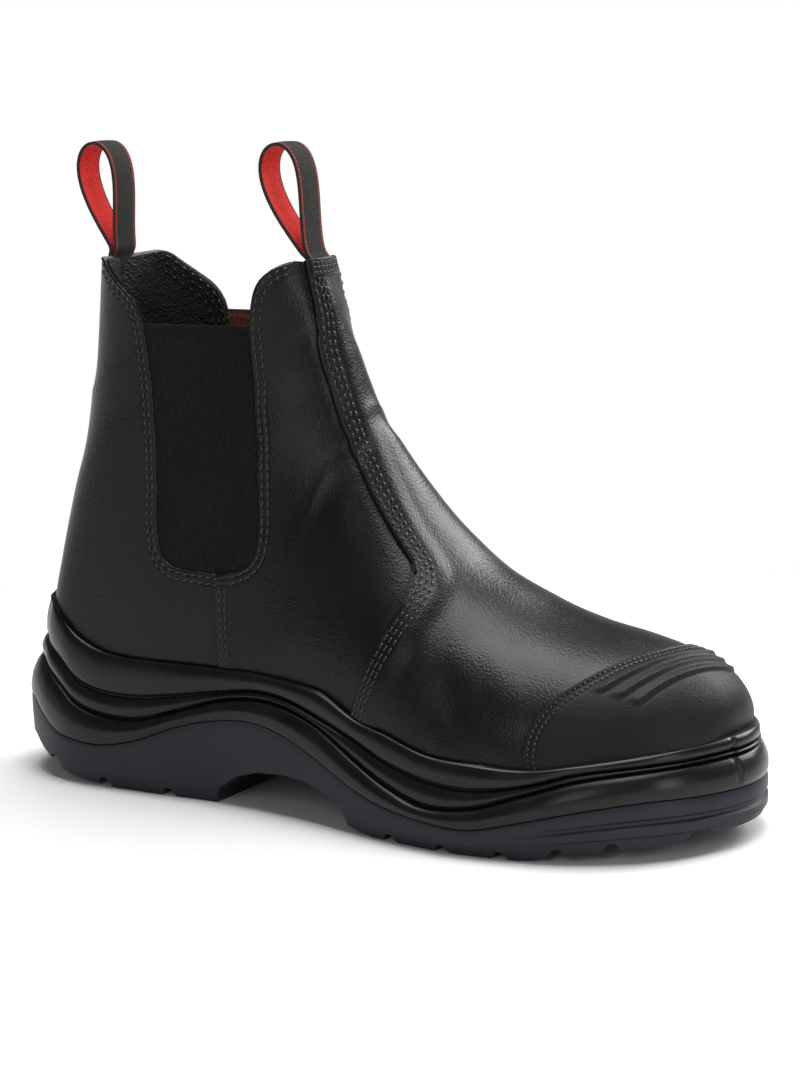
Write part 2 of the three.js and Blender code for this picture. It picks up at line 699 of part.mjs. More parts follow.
function makeToeCap() {
  const [from, to, count] = CAP_RIB_ROWS;
  const ribRows = Array.from({ length: count + 1 }, (_, i) => mix(from, to, i / count));
  const rows = [...CAP_ROWS, ...ribRows].sort((a, b) => a - b);
  const outside = lastBody((u, angle) => CLEARANCE + CAP_LEATHER + ribAt(u, angle), 0, rows);
  const inside = lastBody(CLEARANCE, LEATHER);
  const edge = CAP_EDGE.map(([x, z]) => [x * SOLE_LENGTH, z * SOLE_LENGTH]);
  const rim = SOLE_SIDE.filter(([share]) => share > CAP_EDGE[0][0])
    .map(([share]) => [share * SOLE_LENGTH, sideAt(share * SOLE_LENGTH).rim]);
  const tip = [1.1 * SOLE_LENGTH, edge[edge.length - 1][1]];
  const region = sidePrism([...edge, tip, [tip[0], rim[rim.length - 1][1]], ...rim.reverse()],
    -SOLE_WIDTH, SOLE_WIDTH);
  return outside.subtract(inside).intersect(region).subtract(cupBlock(CLEARANCE));
}

// Middle of a loop's webbing, seen from the side: turn goes once round from the foot, up in front and
// down behind. It leans back over the shaft as it rises.
function loopPlace(foot, lean, turn) {
  const rise = (1 - Math.cos(turn)) / 2;
  const spread = Math.sin(turn) * Math.sin(turn / 2) ** 1.6 / LOOP_FULLNESS;
  const across = (LOOP_SPREAD - LOOP_WEBBING) / 2 * spread + LOOP_WEBBING / 2 * Math.cos(turn / 2);
  return new THREE.Vector2(foot.x + across - lean * (1 - (1 - rise) ** 2), foot.y + LOOP_HEIGHT * rise);
}

// One side of the webbing, from one turn to another
function loopEdge(foot, lean, side, fromTurn) {
  const points = [];
  for (let i = 0; i <= LOOP_STEPS; i += 1) {
    const turn = mix(fromTurn, 2 * Math.PI - fromTurn, i / LOOP_STEPS);
    const along = loopPlace(foot, lean, turn + STEP).sub(loopPlace(foot, lean, turn - STEP)).normalize();
    points.push(loopPlace(foot, lean, turn).add(new THREE.Vector2(along.y, -along.x).multiplyScalar(side)));
  }
  return points;
}

// Pull loop of webbing: a teardrop over the tab, and a tail sewn to the inside of the tab
function makeLoop(footX, tabTop, lean, fromX, toX) {
  const foot = new THREE.Vector2(footX, tabTop + CLEARANCE);
  const shape = new THREE.Shape(loopEdge(foot, lean, LOOP_WEBBING / 2, STEP));
  shape.holes.push(new THREE.Path(loopEdge(foot, lean, -LOOP_WEBBING / 2, LOOP_PINCH)));
  const geometry = new THREE.ExtrudeGeometry(shape, { depth: LOOP_WIDTH, bevelEnabled: false });
  geometry.rotateX(Math.PI / 2);
  geometry.translate(0, LOOP_WIDTH / 2, 0);
  const inside = -LEATHER - CLEARANCE;
  const tail = lastBody(inside, 0).subtract(lastBody(inside - LOOP_WEBBING, LEATHER)).intersect(sidePrism([
    [fromX, tabTop - LOOP_TAIL], [toX, tabTop - LOOP_TAIL], [toX, tabTop + LOOP_WEBBING * 2],
    [fromX, tabTop + LOOP_WEBBING * 2],
  ], -LOOP_WIDTH / 2, LOOP_WIDTH / 2));
  return solidOf(geometry).add(tail);
}

function makeInsole() {
  const top = [];
  for (let i = 0; i <= INSOLE_STEPS; i += 1) {
    const x = SOLE_LENGTH * i / INSOLE_STEPS;
    top.push([x, footbedAt(x) + CLEARANCE + INSOLE_THICKNESS]);
  }
  const below = sidePrism([...top, [SOLE_LENGTH, 0], [0, 0]], -SOLE_WIDTH, SOLE_WIDTH);
  return lastBody(-LEATHER - CLEARANCE, 0).intersect(below);
}

const COLORS = {
  outsole: 0x1b2330,
  midsole: 0x141210,
  upper: 0x161719,
  toe_cap: 0x1a1b1d,
  gore: 0x151515,
  loop: 0x1c1c1e,
  insole: 0x2a2a2a,
};

const boot = new THREE.Group();

function addPiece(name, solid, color, roughness) {
  const mesh = solid.getMesh();
  const geometry = new THREE.BufferGeometry();
  geometry.setAttribute('position', new THREE.BufferAttribute(new Float32Array(mesh.vertProperties), 3));
  geometry.setIndex(new THREE.BufferAttribute(new Uint32Array(mesh.triVerts), 1));
  geometry.computeVertexNormals();
  const piece = new THREE.Mesh(geometry, new THREE.MeshStandardMaterial({ color, roughness, metalness: 0 }));
  piece.name = name;
  boot.add(piece);
}

addPiece('outsole', makeOutsole(), COLORS.outsole, 0.5);
addPiece('midsole', makeMidsole(), COLORS.midsole, 0.45);
addPiece('upper', makeUpper(), COLORS.upper, 0.5);
addPiece('gore_outer', makeGore(-1), COLORS.gore, 0.9);
addPiece('gore_inner', makeGore(1), COLORS.gore, 0.9);
addPiece('toe_cap', makeToeCap(), COLORS.toe_cap, 0.6);
addPiece('insole', makeInsole(), COLORS.insole, 0.9);

const backTop = heightAt(COLLAR_EDGE[0][1]);
const frontTop = heightAt(COLLAR_EDGE[COLLAR_EDGE.length - 1][1]);
const tailDepth = LEATHER + CLEARANCE + LOOP_WEBBING / 2;
const backFoot = placeAtHeight(Math.PI, backTop) + tailDepth;
const frontFoot = placeAtHeight(0, frontTop) - tailDepth;
const middle = (backFoot + frontFoot) / 2;
addPiece('loop_back', makeLoop(backFoot, backTop, BACK_LOOP_LEAN, 0, middle), COLORS.loop, 0.9);
addPiece('loop_front', makeLoop(frontFoot, frontTop, FRONT_LOOP_LEAN, middle, SOLE_LENGTH), COLORS.loop, 0.9);

// The boot's middle along and across goes to the origin
const centre = new THREE.Box3().setFromObject(boot).getCenter(new THREE.Vector3());
for (const piece of boot.children) {
  piece.position.set(-centre.x, -centre.y, 0);
}

export default boot;
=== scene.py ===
"""Looks of the side gore work boot: leather panels, toe cap, moulded sole, elastic, pull loops and studio."""

import math

import bmesh
import bpy
import numpy as np
from mathutils import Matrix, Vector
from mathutils.kdtree import KDTree


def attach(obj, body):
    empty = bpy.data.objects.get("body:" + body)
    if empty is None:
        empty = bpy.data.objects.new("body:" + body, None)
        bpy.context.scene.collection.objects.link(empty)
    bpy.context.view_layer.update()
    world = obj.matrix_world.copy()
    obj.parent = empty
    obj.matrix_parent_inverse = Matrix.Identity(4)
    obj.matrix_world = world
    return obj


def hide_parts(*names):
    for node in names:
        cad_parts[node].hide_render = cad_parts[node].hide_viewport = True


bl_info = {
    "name": "Side gore work boot looks",
    "version": (1, 0, 0),
    "blender": (4, 5, 0),
    "location": "View3D > Sidebar > Work boot",
    "description": "Dresses the packed boot with stitched leather, moulded rubber, elastic and webbing",
    "category": "Object",
}

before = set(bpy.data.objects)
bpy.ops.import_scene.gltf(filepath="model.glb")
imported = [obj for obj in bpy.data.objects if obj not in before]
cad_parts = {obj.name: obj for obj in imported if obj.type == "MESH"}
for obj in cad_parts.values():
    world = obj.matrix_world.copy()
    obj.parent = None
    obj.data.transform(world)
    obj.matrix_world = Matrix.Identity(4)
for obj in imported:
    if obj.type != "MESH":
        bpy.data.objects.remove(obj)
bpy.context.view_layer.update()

# The source's places are in millimetres from the back of the sole. CENTRE goes to the frame's origin.
MM = 0.001
CENTRE = np.array([152.75, -1.2, 0.0])

SOLE_LENGTH = 305.0
SOLE_WIDTH = 116.0
LAST_WIDTH = 102.0
INSTEP_HEIGHT = 148.0
SHAFT_RISE = 52.0
SEAT_HEIGHT = 30.0
CUP_HEIGHT = 52.0

# Sections of the upper from toe to shaft, as in the part. Columns: ridge along, ridge height, back along,
# back height, half width, lift, fullness at ridge and back, ridge, middle and back across.
UPPER_SECTIONS = np.array([
    [0.964, 0.054, 0.866, -0.223, 0.186, 0.00, 0.02, 0.05, 0.078, 0.064, 0.064],
    [0.967, 0.162, 0.859, -0.223, 0.211, 0.02, 0.02, 0.05, 0.078, 0.062, 0.062],
    [0.974, 0.253, 0.849, -0.230, 0.253, 0.04, 0.02, 0.05, 0.078, 0.059, 0.059],
    [0.972, 0.332, 0.839, -0.236, 0.315, 0.06, 0.02, 0.05, 0.078, 0.049, 0.049],
    [0.943, 0.395, 0.823, -0.236, 0.375, 0.08, 0.03, 0.05, 0.078, 0.034, 0.034],
    [0.900, 0.439, 0.803, -0.236, 0.422, 0.10, 0.03, 0.05, 0.078, 0.022, 0.022],
    [0.846, 0.468, 0.777, -0.236, 0.459, 0.10, 0.03, 0.05, 0.075, 0.006, 0.006],
    [0.782, 0.495, 0.738, -0.230, 0.484, 0.10, 0.02, 0.05, 0.069, -0.006, -0.006],
    [0.711, 0.547, 0.689, -0.223, 0.490, 0.08, 0.01, 0.05, 0.059, -0.019, -0.019],
    [0.649, 0.624, 0.636, -0.216, 0.474, 0.05, 0.00, 0.05, 0.049, -0.028, -0.028],
    [0.598, 0.723, 0.577, -0.209, 0.431, 0.00, 0.00, 0.05, 0.039, -0.039, -0.039],
    [0.561, 0.821, 0.505, -0.203, 0.387, -0.05, 0.00, 0.06, 0.034, -0.039, -0.039],
    [0.530, 0.916, 0.420, -0.189, 0.353, -0.10, 0.00, 0.08, 0.029, -0.033, -0.033],
    [0.506, 1.000, 0.321, -0.169, 0.333, -0.16, 0.01, 0.09, 0.025, -0.022, -0.022],
    [0.491, 1.212, 0.216, -0.108, 0.333, -0.22, 0.02, 0.10, 0.020, -0.014, -0.014],
    [0.481, 1.385, 0.121, 0.014, 0.343, -0.27, 0.03, 0.11, 0.015, -0.008, -0.008],
    [0.472, 1.519, 0.061, 0.203, 0.338, -0.30, 0.04, 0.11, 0.010, 0.000, 0.000],
    [0.466, 1.615, 0.053, 0.378, 0.326, -0.28, 0.05, 0.11, 0.010, 0.000, 0.000],
    [0.461, 1.712, 0.066, 0.554, 0.314, -0.22, 0.06, 0.10, 0.010, 0.000, 0.000],
    [0.455, 1.808, 0.084, 0.730, 0.302, -0.15, 0.06, 0.09, 0.005, 0.000, 0.000],
    [0.449, 1.904, 0.104, 0.892, 0.292, -0.08, 0.07, 0.08, 0.005, 0.000, 0.000],
    [0.443, 2.038, 0.119, 1.135, 0.286, -0.04, 0.07, 0.08, 0.000, 0.000, 0.000],
    [0.436, 2.212, 0.128, 1.577, 0.284, 0.00, 0.08, 0.08, 0.000, 0.000, 0.000],
    [0.430, 2.423, 0.135, 2.019, 0.279, 0.00, 0.08, 0.08, 0.000, 0.000, 0.000],
    [0.423, 2.673, 0.141, 2.481, 0.279, 0.00, 0.08, 0.08, 0.000, 0.000, 0.000],
])

# Outline of the sole from above. Columns: along, across.
SOLE_OUTLINE = np.array([
    [0.000, 0.000], [0.029, -0.216], [0.110, -0.336], [0.227, -0.353], [0.357, -0.349],
    [0.487, -0.397], [0.617, -0.474], [0.731, -0.500], [0.851, -0.435], [0.948, -0.259],
    [1.000, 0.026], [0.974, 0.276], [0.896, 0.431], [0.779, 0.483], [0.666, 0.453],
    [0.536, 0.353], [0.406, 0.315], [0.255, 0.330], [0.113, 0.336], [0.029, 0.218],
])

# Levels of the sole. Columns: along, plate inside, split at the edge, lower groove, upper groove, rim, lean.
SOLE_SIDE = np.array([
    [0.000, 0.327, 0.596, 0.885, 1.038, 1.346, 0.098],
    [0.049, 0.327, 0.567, 0.856, 1.010, 1.346, 0.086],
    [0.072, 0.327, 0.471, 0.798, 0.967, 1.317, 0.060],
    [0.098, 0.327, 0.375, 0.721, 0.904, 1.231, 0.046],
    [0.131, 0.317, 0.337, 0.610, 0.779, 1.106, 0.039],
    [0.174, 0.317, 0.327, 0.546, 0.712, 1.019, 0.034],
    [0.230, 0.317, 0.394, 0.546, 0.708, 0.996, 0.030],
    [0.295, 0.327, 0.538, 0.654, 0.760, 0.996, 0.028],
    [0.361, 0.375, 0.629, 0.773, 0.827, 0.996, 0.028],
    [0.413, 0.385, 0.646, 0.813, 0.869, 0.990, 0.028],
    [0.459, 0.385, 0.596, 0.794, 0.846, 0.977, 0.028],
    [0.508, 0.356, 0.487, 0.708, 0.765, 0.942, 0.029],
    [0.564, 0.269, 0.346, 0.538, 0.663, 0.808, 0.030],
    [0.616, 0.231, 0.254, 0.400, 0.550, 0.740, 0.031],
    [0.672, 0.198, 0.208, 0.304, 0.475, 0.650, 0.034],
    [0.734, 0.185, 0.192, 0.327, 0.448, 0.623, 0.040],
    [0.797, 0.240, 0.273, 0.442, 0.500, 0.612, 0.042],
    [0.859, 0.298, 0.356, 0.554, 0.596, 0.658, 0.040],
    [0.925, 0.356, 0.413, 0.612, 0.642, 0.712, 0.036],
    [1.000, 0.375, 0.410, 0.635, 0.667, 0.760, 0.034],
])

# Under side of the sole on the centre line. Columns: along, height (shares of SOLE_LENGTH).
SOLE_FLOOR = np.array([
    [-0.020, 0.0623], [0.000, 0.0557], [0.046, 0.0475], [0.066, 0.0344], [0.089, 0.0213],
    [0.108, 0.0125], [0.148, 0.0059], [0.190, 0.0000], [0.344, 0.0000], [0.348, 0.0180],
    [0.380, 0.0393], [0.413, 0.0492], [0.459, 0.0534], [0.492, 0.0511], [0.528, 0.0413],
    [0.551, 0.0295], [0.557, 0.0082], [0.597, 0.0000], [0.793, 0.0000], [0.826, 0.0059],
    [0.859, 0.0105], [0.902, 0.0151], [0.954, 0.0203], [0.993, 0.0249], [1.020, 0.0275],
])

FOOTBED = np.array([
    [0.000, 1.033], [0.066, 1.017], [0.164, 1.000], [0.295, 0.967], [0.393, 0.893], [0.492, 0.793],
    [0.623, 0.627], [0.754, 0.573], [0.803, 0.607], [0.852, 0.667], [0.934, 0.783], [1.000, 0.850],
])

LUG_NOTCHES = [0.090, 0.174, 0.272, 0.622, 0.697, 0.770, 0.836, 0.893, 0.968]
TREAD_FIELDS = [(0.110, 0.310), (0.645, 0.900)]
MAIN_LUGS = [0.135, 0.210, 0.285, 0.672, 0.735, 0.798, 0.861]

# Seam between the front piece and the quarter, from the sole up to the front tab.
# Columns: row of UPPER_SECTIONS, degrees from the ridge.
FRONT_SEAM = np.array([
    [10.80, 104.0], [10.55, 90.0], [10.44, 83.0], [10.19, 72.0], [9.94, 61.0], [9.71, 49.0],
    [9.62, 39.0], [9.72, 34.0], [9.90, 32.0], [10.69, 31.0], [11.63, 29.0], [12.87, 24.0],
    [14.46, 20.0], [16.98, 16.0], [18.70, 15.4], [20.43, 15.0], [21.05, 15.0],
])

# The same seam on the inner side, where the front piece reaches further round
FRONT_SEAM_INNER = np.array([
    [10.80, 104.0], [10.62, 94.0], [10.46, 87.0], [10.26, 80.0], [10.08, 74.0], [9.97, 69.0],
    [9.91, 64.5], [9.90, 61.0], [9.95, 59.0], [10.69, 55.0], [11.63, 49.5], [12.87, 41.5],
    [14.46, 33.0], [16.98, 27.0], [18.70, 28.0], [20.43, 31.5], [21.05, 32.5],
])

# Edge of the quarter towards the gore: up the side seam, round the gore's front and up the front tab.
# Columns: along, height in millimetres.
QUARTER_EDGE = np.array([
    [107.6, 24.0], [107.2, 42.0], [106.8, 60.0], [106.0, 78.0], [105.6, 86.6], [109.0, 87.0],
    [114.5, 88.6], [119.4, 91.4], [122.4, 97.0], [122.9, 108.0], [121.9, 124.0], [120.6, 140.0],
    [119.2, 156.0], [118.2, 170.0], [117.9, 179.0], [118.9, 187.5], [121.3, 194.6], [126.0, 199.2],
    [131.0, 201.6],
])
QUARTER_EDGE_INNER = QUARTER_EDGE[:-1]
# Height of the collar's front by place along the boot
COLLAR_FRONT = ([119.0, 121.3, 123.2, 126.0, 131.0, 136.0], [187.5, 194.6, 197.2, 199.4, 201.6, 201.8])
# What the rows of QUARTER_EDGE pair with along the front seam, as shares of the seam's length
QUARTER_PAIRS = np.array([
    0.00, 0.03, 0.06, 0.10, 0.13, 0.16, 0.21, 0.26, 0.32, 0.38, 0.47, 0.58, 0.69, 0.78, 0.84, 0.89,
    0.94, 0.975, 0.995,
])
# Places along the sole that the back piece's edge is drawn down to
BACK_FOOT = (107.6, 96.0, 80.0, 66.0, 54.0, 44.0, 36.0, 29.5, 24.5, 21.3, 19.6)
HEEL_FOOT_ROW = 16.03

# Edge of the back piece: up the side seam, round the gore's rear and up the back tab
BACK_EDGE = np.array([
    [107.6, 24.0], [107.2, 42.0], [106.8, 60.0], [106.0, 78.0], [105.6, 86.6], [98.0, 87.3],
    [90.5, 87.6], [84.0, 89.6], [80.2, 95.0], [79.0, 103.0], [79.1, 118.0], [78.4, 135.0],
    [77.0, 150.0], [75.2, 164.0], [73.0, 177.0], [70.9, 183.5], [66.6, 188.8], [60.8, 193.0], [54.6, 197.6],
    [50.5, 201.0], [46.5, 202.3],
])

# Back edge of the toe cap. Columns: degrees from the ridge, row of UPPER_SECTIONS.
CAP_EDGE = np.array([
    [-112.0, 6.35], [-96.0, 6.42], [-83.0, 6.50], [-75.0, 6.62], [-65.0, 6.62], [-52.0, 6.42], [-40.0, 6.09],
    [-24.0, 5.66], [-6.0, 5.23], [14.0, 5.09], [34.0, 5.23], [52.0, 5.66], [68.0, 6.09],
    [80.0, 6.42], [93.0, 6.60], [112.0, 6.45],
])

# Ripples across the toe cap. Columns: degrees from the ridge, then the front edge's row for each ripple.
CAP_RIPPLES = np.array([
    [-45.0, 5.62, 5.20, 4.78], [-26.0, 5.14, 4.80, 4.46], [-6.0, 4.74, 4.42, 4.10],
    [7.0, 4.54, 4.22, 3.90], [14.0, 4.50, 4.18, 3.86], [21.0, 4.54, 4.22, 3.90],
    [34.0, 4.74, 4.42, 4.10], [54.0, 5.14, 4.80, 4.46], [73.0, 5.62, 5.20, 4.78],
])

# The cup's side. Columns: level below (0 split, 1 lower groove, 2 upper groove), share of the way to
# the next level, how far it swells out in millimetres.
CUP_PROFILE = np.array([
    [0, 0.00, -0.5], [0, 0.05, 0.5], [0, 0.18, 1.3], [0, 0.50, 2.0], [0, 0.80, 1.3], [0, 0.93, 0.3],
    [0, 0.985, -1.0], [1, 0.02, -1.1], [1, 0.12, -0.1], [1, 0.45, 0.9], [1, 0.78, 0.5], [1, 0.93, -0.4],
    [1, 0.99, -1.1], [2, 0.03, -0.9], [2, 0.12, 0.3], [2, 0.45, 1.2], [2, 0.75, 1.1], [2, 0.92, 0.6],
    [2, 0.98, 0.0], [2, 1.00, -0.7],
])

# Soft troughs (minus) and ridges (plus) pressed into the leather.
# Columns: from row, from degrees, to row, to degrees, half width and height in millimetres.
CREASES = np.array([
    [8.3, -62, 7.4, -84, 6.0, -0.45],
    [8.9, -44, 8.0, -68, 7.0, -0.35],
    [7.7, -40, 7.0, -62, 6.0, 0.30],
    [9.1, -14, 8.9, 18, 9.0, -0.40],
    [8.1, -20, 8.0, 22, 8.0, 0.30],
    [11.6, -62, 13.2, -72, 13.0, -0.35],
    [13.6, 56, 11.8, 66, 9.0, -0.50],
    [8.6, 48, 7.6, 76, 6.0, -0.50],
    [15.6, -176, 16.6, -150, 12.0, 0.30],
])


class BootSizes(bpy.types.PropertyGroup):
    """Lengths of the boot's finish"""

    leather: bpy.props.FloatProperty(
        name="Leather", description="Thickness of the upper's leather", default=0.0024, unit="LENGTH")
    seam_raise: bpy.props.FloatProperty(
        name="Seam raise", description="How far the front piece's edge stands over the quarter",
        default=0.0012, unit="LENGTH")
    seam_band: bpy.props.FloatProperty(
        name="Seam band", description="Width of the raised, stitched band along the front seam",
        default=0.0088, unit="LENGTH")
    edge_round: bpy.props.FloatProperty(
        name="Edge rounding", description="Radius that leather edges are worn to", default=0.0007,
        unit="LENGTH")
    stitch_pitch: bpy.props.FloatProperty(
        name="Stitch pitch", description="Distance from one stitch to the next", default=0.0034,
        unit="LENGTH")
    stitch_length: bpy.props.FloatProperty(
        name="Stitch length", description="Visible length of one stitch", default=0.0026, unit="LENGTH")
    thread: bpy.props.FloatProperty(
        name="Thread", description="Thickness of the sewing thread", default=0.00095, unit="LENGTH")
    ripple: bpy.props.FloatProperty(
        name="Toe cap ripple", description="Height of the ripples across the toe cap", default=0.00095,
        unit="LENGTH")
    webbing: bpy.props.FloatProperty(
        name="Webbing", description="Width of the pull loops' webbing", default=0.013, unit="LENGTH")


class BootColours(bpy.types.PropertyGroup):
    """Colours of the boot's finish"""

    leather: bpy.props.FloatVectorProperty(
        name="Leather", description="Colour of the upper's leather", subtype="COLOR", min=0, max=1,
        default=(0.0042, 0.0041, 0.0040))
    toe_cap: bpy.props.FloatVectorProperty(
        name="Toe cap", description="Colour of the coated toe cap", subtype="COLOR", min=0, max=1,
        default=(0.0052, 0.0052, 0.0058))
    midsole: bpy.props.FloatVectorProperty(
        name="Midsole", description="Colour of the moulded cup", subtype="COLOR", min=0, max=1,
        default=(0.0042, 0.0038, 0.0033))
    outsole: bpy.props.FloatVectorProperty(
        name="Outsole", description="Colour of the tread", subtype="COLOR", min=0, max=1,
        default=(0.0085, 0.0105, 0.0155))
    gore: bpy.props.FloatVectorProperty(
        name="Gore", description="Colour of the elastic", subtype="COLOR", min=0, max=1,
        default=(0.0040, 0.0040, 0.0034))
    gore_back: bpy.props.FloatVectorProperty(
        name="Gore lining", description="Colour of the elastic's inside", subtype="COLOR", min=0, max=1,
        default=(0.105, 0.036, 0.022))
    webbing: bpy.props.FloatVectorProperty(
        name="Webbing", description="Colour of the loops' outside", subtype="COLOR", min=0, max=1,
        default=(0.0085, 0.0080, 0.0075))
    webbing_inside: bpy.props.FloatVectorProperty(
        name="Webbing inside", description="Colour of the loops' inside", subtype="COLOR", min=0, max=1,
        default=(0.46, 0.010, 0.007))
    thread: bpy.props.FloatVectorProperty(
        name="Thread", description="Colour of the sewing thread", subtype="COLOR", min=0, max=1,
        default=(0.006, 0.006, 0.006))
    floor: bpy.props.FloatVectorProperty(
        name="Floor", description="Colour of the studio floor", subtype="COLOR", min=0, max=1,
        default=(0.76, 0.76, 0.76))


def sizes():
    return bpy.context.scene.boot_sizes


def colours():
    return bpy.context.scene.boot_colours


# The upper's form

def catmull(table, t):
    """Smooth curve through the rows of a table at the row numbers t."""
    t = np.asarray(t, float)
    last = len(table) - 1
    index = np.clip(np.floor(t).astype(int), 0, last - 1)
    f = (t - index)[..., None]
    here = table[index]
    ahead = table[index + 1]
    before = np.where((index > 0)[..., None], table[np.maximum(index - 1, 0)], 2 * here - ahead)
    after = np.where((index + 2 <= last)[..., None], table[np.minimum(index + 2, last)], 2 * ahead - here)
    slope_in = (ahead - before) / 2
    slope_out = (after - here) / 2
    rise = ahead - here
    return here + f * (slope_in + f * (3 * rise - 2 * slope_in - slope_out
                                       + f * (slope_in + slope_out - 2 * rise)))


def look_up(table, x):
    """Smooth values of a table at places x of its rising first column."""
    x = np.asarray(x, float)
    keys = table[:, 0]
    last = len(table) - 1
    index = np.clip(np.searchsorted(keys, x, side="right") - 1, 0, last - 1)
    here = table[index]
    ahead = table[index + 1]
    step = (ahead[..., 0] - here[..., 0])[..., None]
    f = np.clip((x - here[..., 0])[..., None] / step, 0, 1)
    before = table[np.maximum(index - 1, 0)]
    after = table[np.minimum(index + 2, last)]
    slope_in = step * (ahead - before) / (ahead[..., :1] - before[..., :1])
    slope_out = step * (after - here) / (after[..., :1] - here[..., :1])
    rise = ahead - here
    return here + f * (slope_in + f * (3 * rise - 2 * slope_in - slope_out
                                       + f * (slope_in + slope_out - 2 * rise)))


def height_at(share):
    return INSTEP_HEIGHT * np.minimum(share, 1) + SHAFT_RISE * np.maximum(share - 1, 0)


def footbed_at(x):
    return SEAT_HEIGHT * look_up(FOOTBED, np.asarray(x) / SOLE_LENGTH)[..., 1]


def skin(u, a):
    """Points of the upper's outside at row u and angle a, in the source's millimetres."""
    u, a = np.broadcast_arrays(np.asarray(u, float), np.asarray(a, float))
    s = catmull(UPPER_SECTIONS, u)
    cos = np.cos(a)
    sin = np.sin(a)
    share = 0.5 + 0.5 * (cos + s[..., 5] * sin * sin)
    full = s[..., 6] + (s[..., 7] - s[..., 6]) * (1 - cos) / 2
    side = (sin + full * np.sin(3 * a)) / (1 - full)
    end = np.where(cos > 0, s[..., 8], s[..., 10]) * LAST_WIDTH
    middle = s[..., 9] * LAST_WIDTH
    back_x = s[..., 2] * SOLE_LENGTH
    back_z = height_at(s[..., 3])
    return np.stack([
        back_x + share * (s[..., 0] * SOLE_LENGTH - back_x),
        middle + (end - middle) * cos * cos + s[..., 4] * LAST_WIDTH * side,
        back_z + share * (height_at(s[..., 1]) - back_z),
    ], -1)


STEP = 1e-3


def slopes(u, a):
    along = (skin(u + STEP, a) - skin(u - STEP, a)) / (2 * STEP)
    round_skin = (skin(u, a + STEP) - skin(u, a - STEP)) / (2 * STEP)
    return along, round_skin


def outwards(u, a):
    along, round_skin = slopes(u, a)
    n = np.cross(round_skin, along)
    return n / np.linalg.norm(n, axis=-1, keepdims=True)


def on_skin(u, a, offset):
    """Points at an offset in millimetres from the skin."""
    return skin(u, a) + outwards(u, a) * np.asarray(offset, float)[..., None]


def place_on(u, a, x, z):
    """Moves rows and angles until their points lie at (along, height)."""
    for _ in range(10):
        p = skin(u, a)
        along, round_skin = slopes(u, a)
        det = along[..., 0] * round_skin[..., 2] - round_skin[..., 0] * along[..., 2]
        dx = x - p[..., 0]
        dz = z - p[..., 2]
        u = u + np.clip((dx * round_skin[..., 2] - round_skin[..., 0] * dz) / det, -0.3, 0.3)
        a = a + np.clip((along[..., 0] * dz - dx * along[..., 2]) / det, -0.2, 0.2)
    return u, a


def find(places, side):
    """Rows and angles of the skin's points at (along, height) on one side (-1 outer, 1 inner)."""
    places = np.asarray(places, float)
    us = np.linspace(1.0, 23.5, 220)
    angles = side * np.linspace(0.03, math.pi - 0.03, 160)
    grid_u, grid_a = np.meshgrid(us, angles, indexing="ij")
    points = skin(grid_u, grid_a)
    near = [np.argmin((points[..., 0] - x) ** 2 + (points[..., 2] - z) ** 2) for x, z in places]
    u, a = place_on(grid_u.flat[near], grid_a.flat[near], places[:, 0], places[:, 1])
    return np.stack([u, a], -1)


def reach_at(u):
    """Angle at which the skin meets the footbed, for each row."""
    u = np.asarray(u, float)
    low = np.full(u.shape, 0.6)
    high = np.full(u.shape, math.pi)
    for _ in range(40):
        middle = (low + high) / 2
        p = skin(u, middle)
        above = p[..., 2] > footbed_at(p[..., 0]) + 0.5
        low = np.where(above, middle, low)
        high = np.where(above, high, middle)
    return (low + high) / 2


def resample(curve, count, keys=None):
    """Rows of a curve in (row, angle) evenly spaced along the skin, or at shares of its length."""
    fine = catmull(curve, np.linspace(0, len(curve) - 1, 40 * (len(curve) - 1) + 1))
    points = skin(fine[:, 0], fine[:, 1])
    length = np.concatenate([[0], np.cumsum(np.linalg.norm(np.diff(points, axis=0), axis=1))])
    wanted = np.linspace(0, 1, count) if keys is None else np.asarray(keys)
    at = wanted * length[-1]
    return np.stack([np.interp(at, length, fine[:, 0]), np.interp(at, length, fine[:, 1])], -1), length[-1]


def shifted(curve, distance):
    """A curve on the skin moved sideways by a distance in millimetres, to the left of its way."""
    curve = np.array(curve, float)
    for _ in range(4):
        points = skin(curve[:, 0], curve[:, 1])
        tangent = np.gradient(points, axis=0)
        tangent /= np.linalg.norm(tangent, axis=1, keepdims=True)
        n = outwards(curve[:, 0], curve[:, 1])
        way = np.cross(n, tangent) * (distance / 4)
        along, round_skin = slopes(curve[:, 0], curve[:, 1])
        aa = (along * along).sum(1)
        ar = (along * round_skin).sum(1)
        rr = (round_skin * round_skin).sum(1)
        wa = (way * along).sum(1)
        wr = (way * round_skin).sum(1)
        det = aa * rr - ar * ar
        curve[:, 0] += (wa * rr - wr * ar) / det
        curve[:, 1] += (wr * aa - wa * ar) / det
    return curve


def distance_to(points, line):
    """Distance of each point from a line of closely spaced points, in millimetres."""
    tree = KDTree(len(line))
    for i, p in enumerate(line):
        tree.insert(p, i)
    tree.balance()
    flat = points.reshape(-1, 3)
    return np.array([tree.find(p)[2] for p in flat]).reshape(points.shape[:-1])


def smooth_step(x):
    x = np.clip(x, 0, 1)
    return x * x * (3 - 2 * x)


def groove(d, middle, half, depth):
    """A rounded groove round a distance."""
    t = np.clip(np.abs(d - middle) / half, 0, 1)
    return -depth * (1 - t * t) ** 2


def worn_edge(d, radius):
    """How far a rounded leather edge drops, by the distance from it."""
    t = np.clip(1 - d / radius, 0, 1)
    return -radius * (1 - np.sqrt(np.maximum(0, 1 - t * t)))


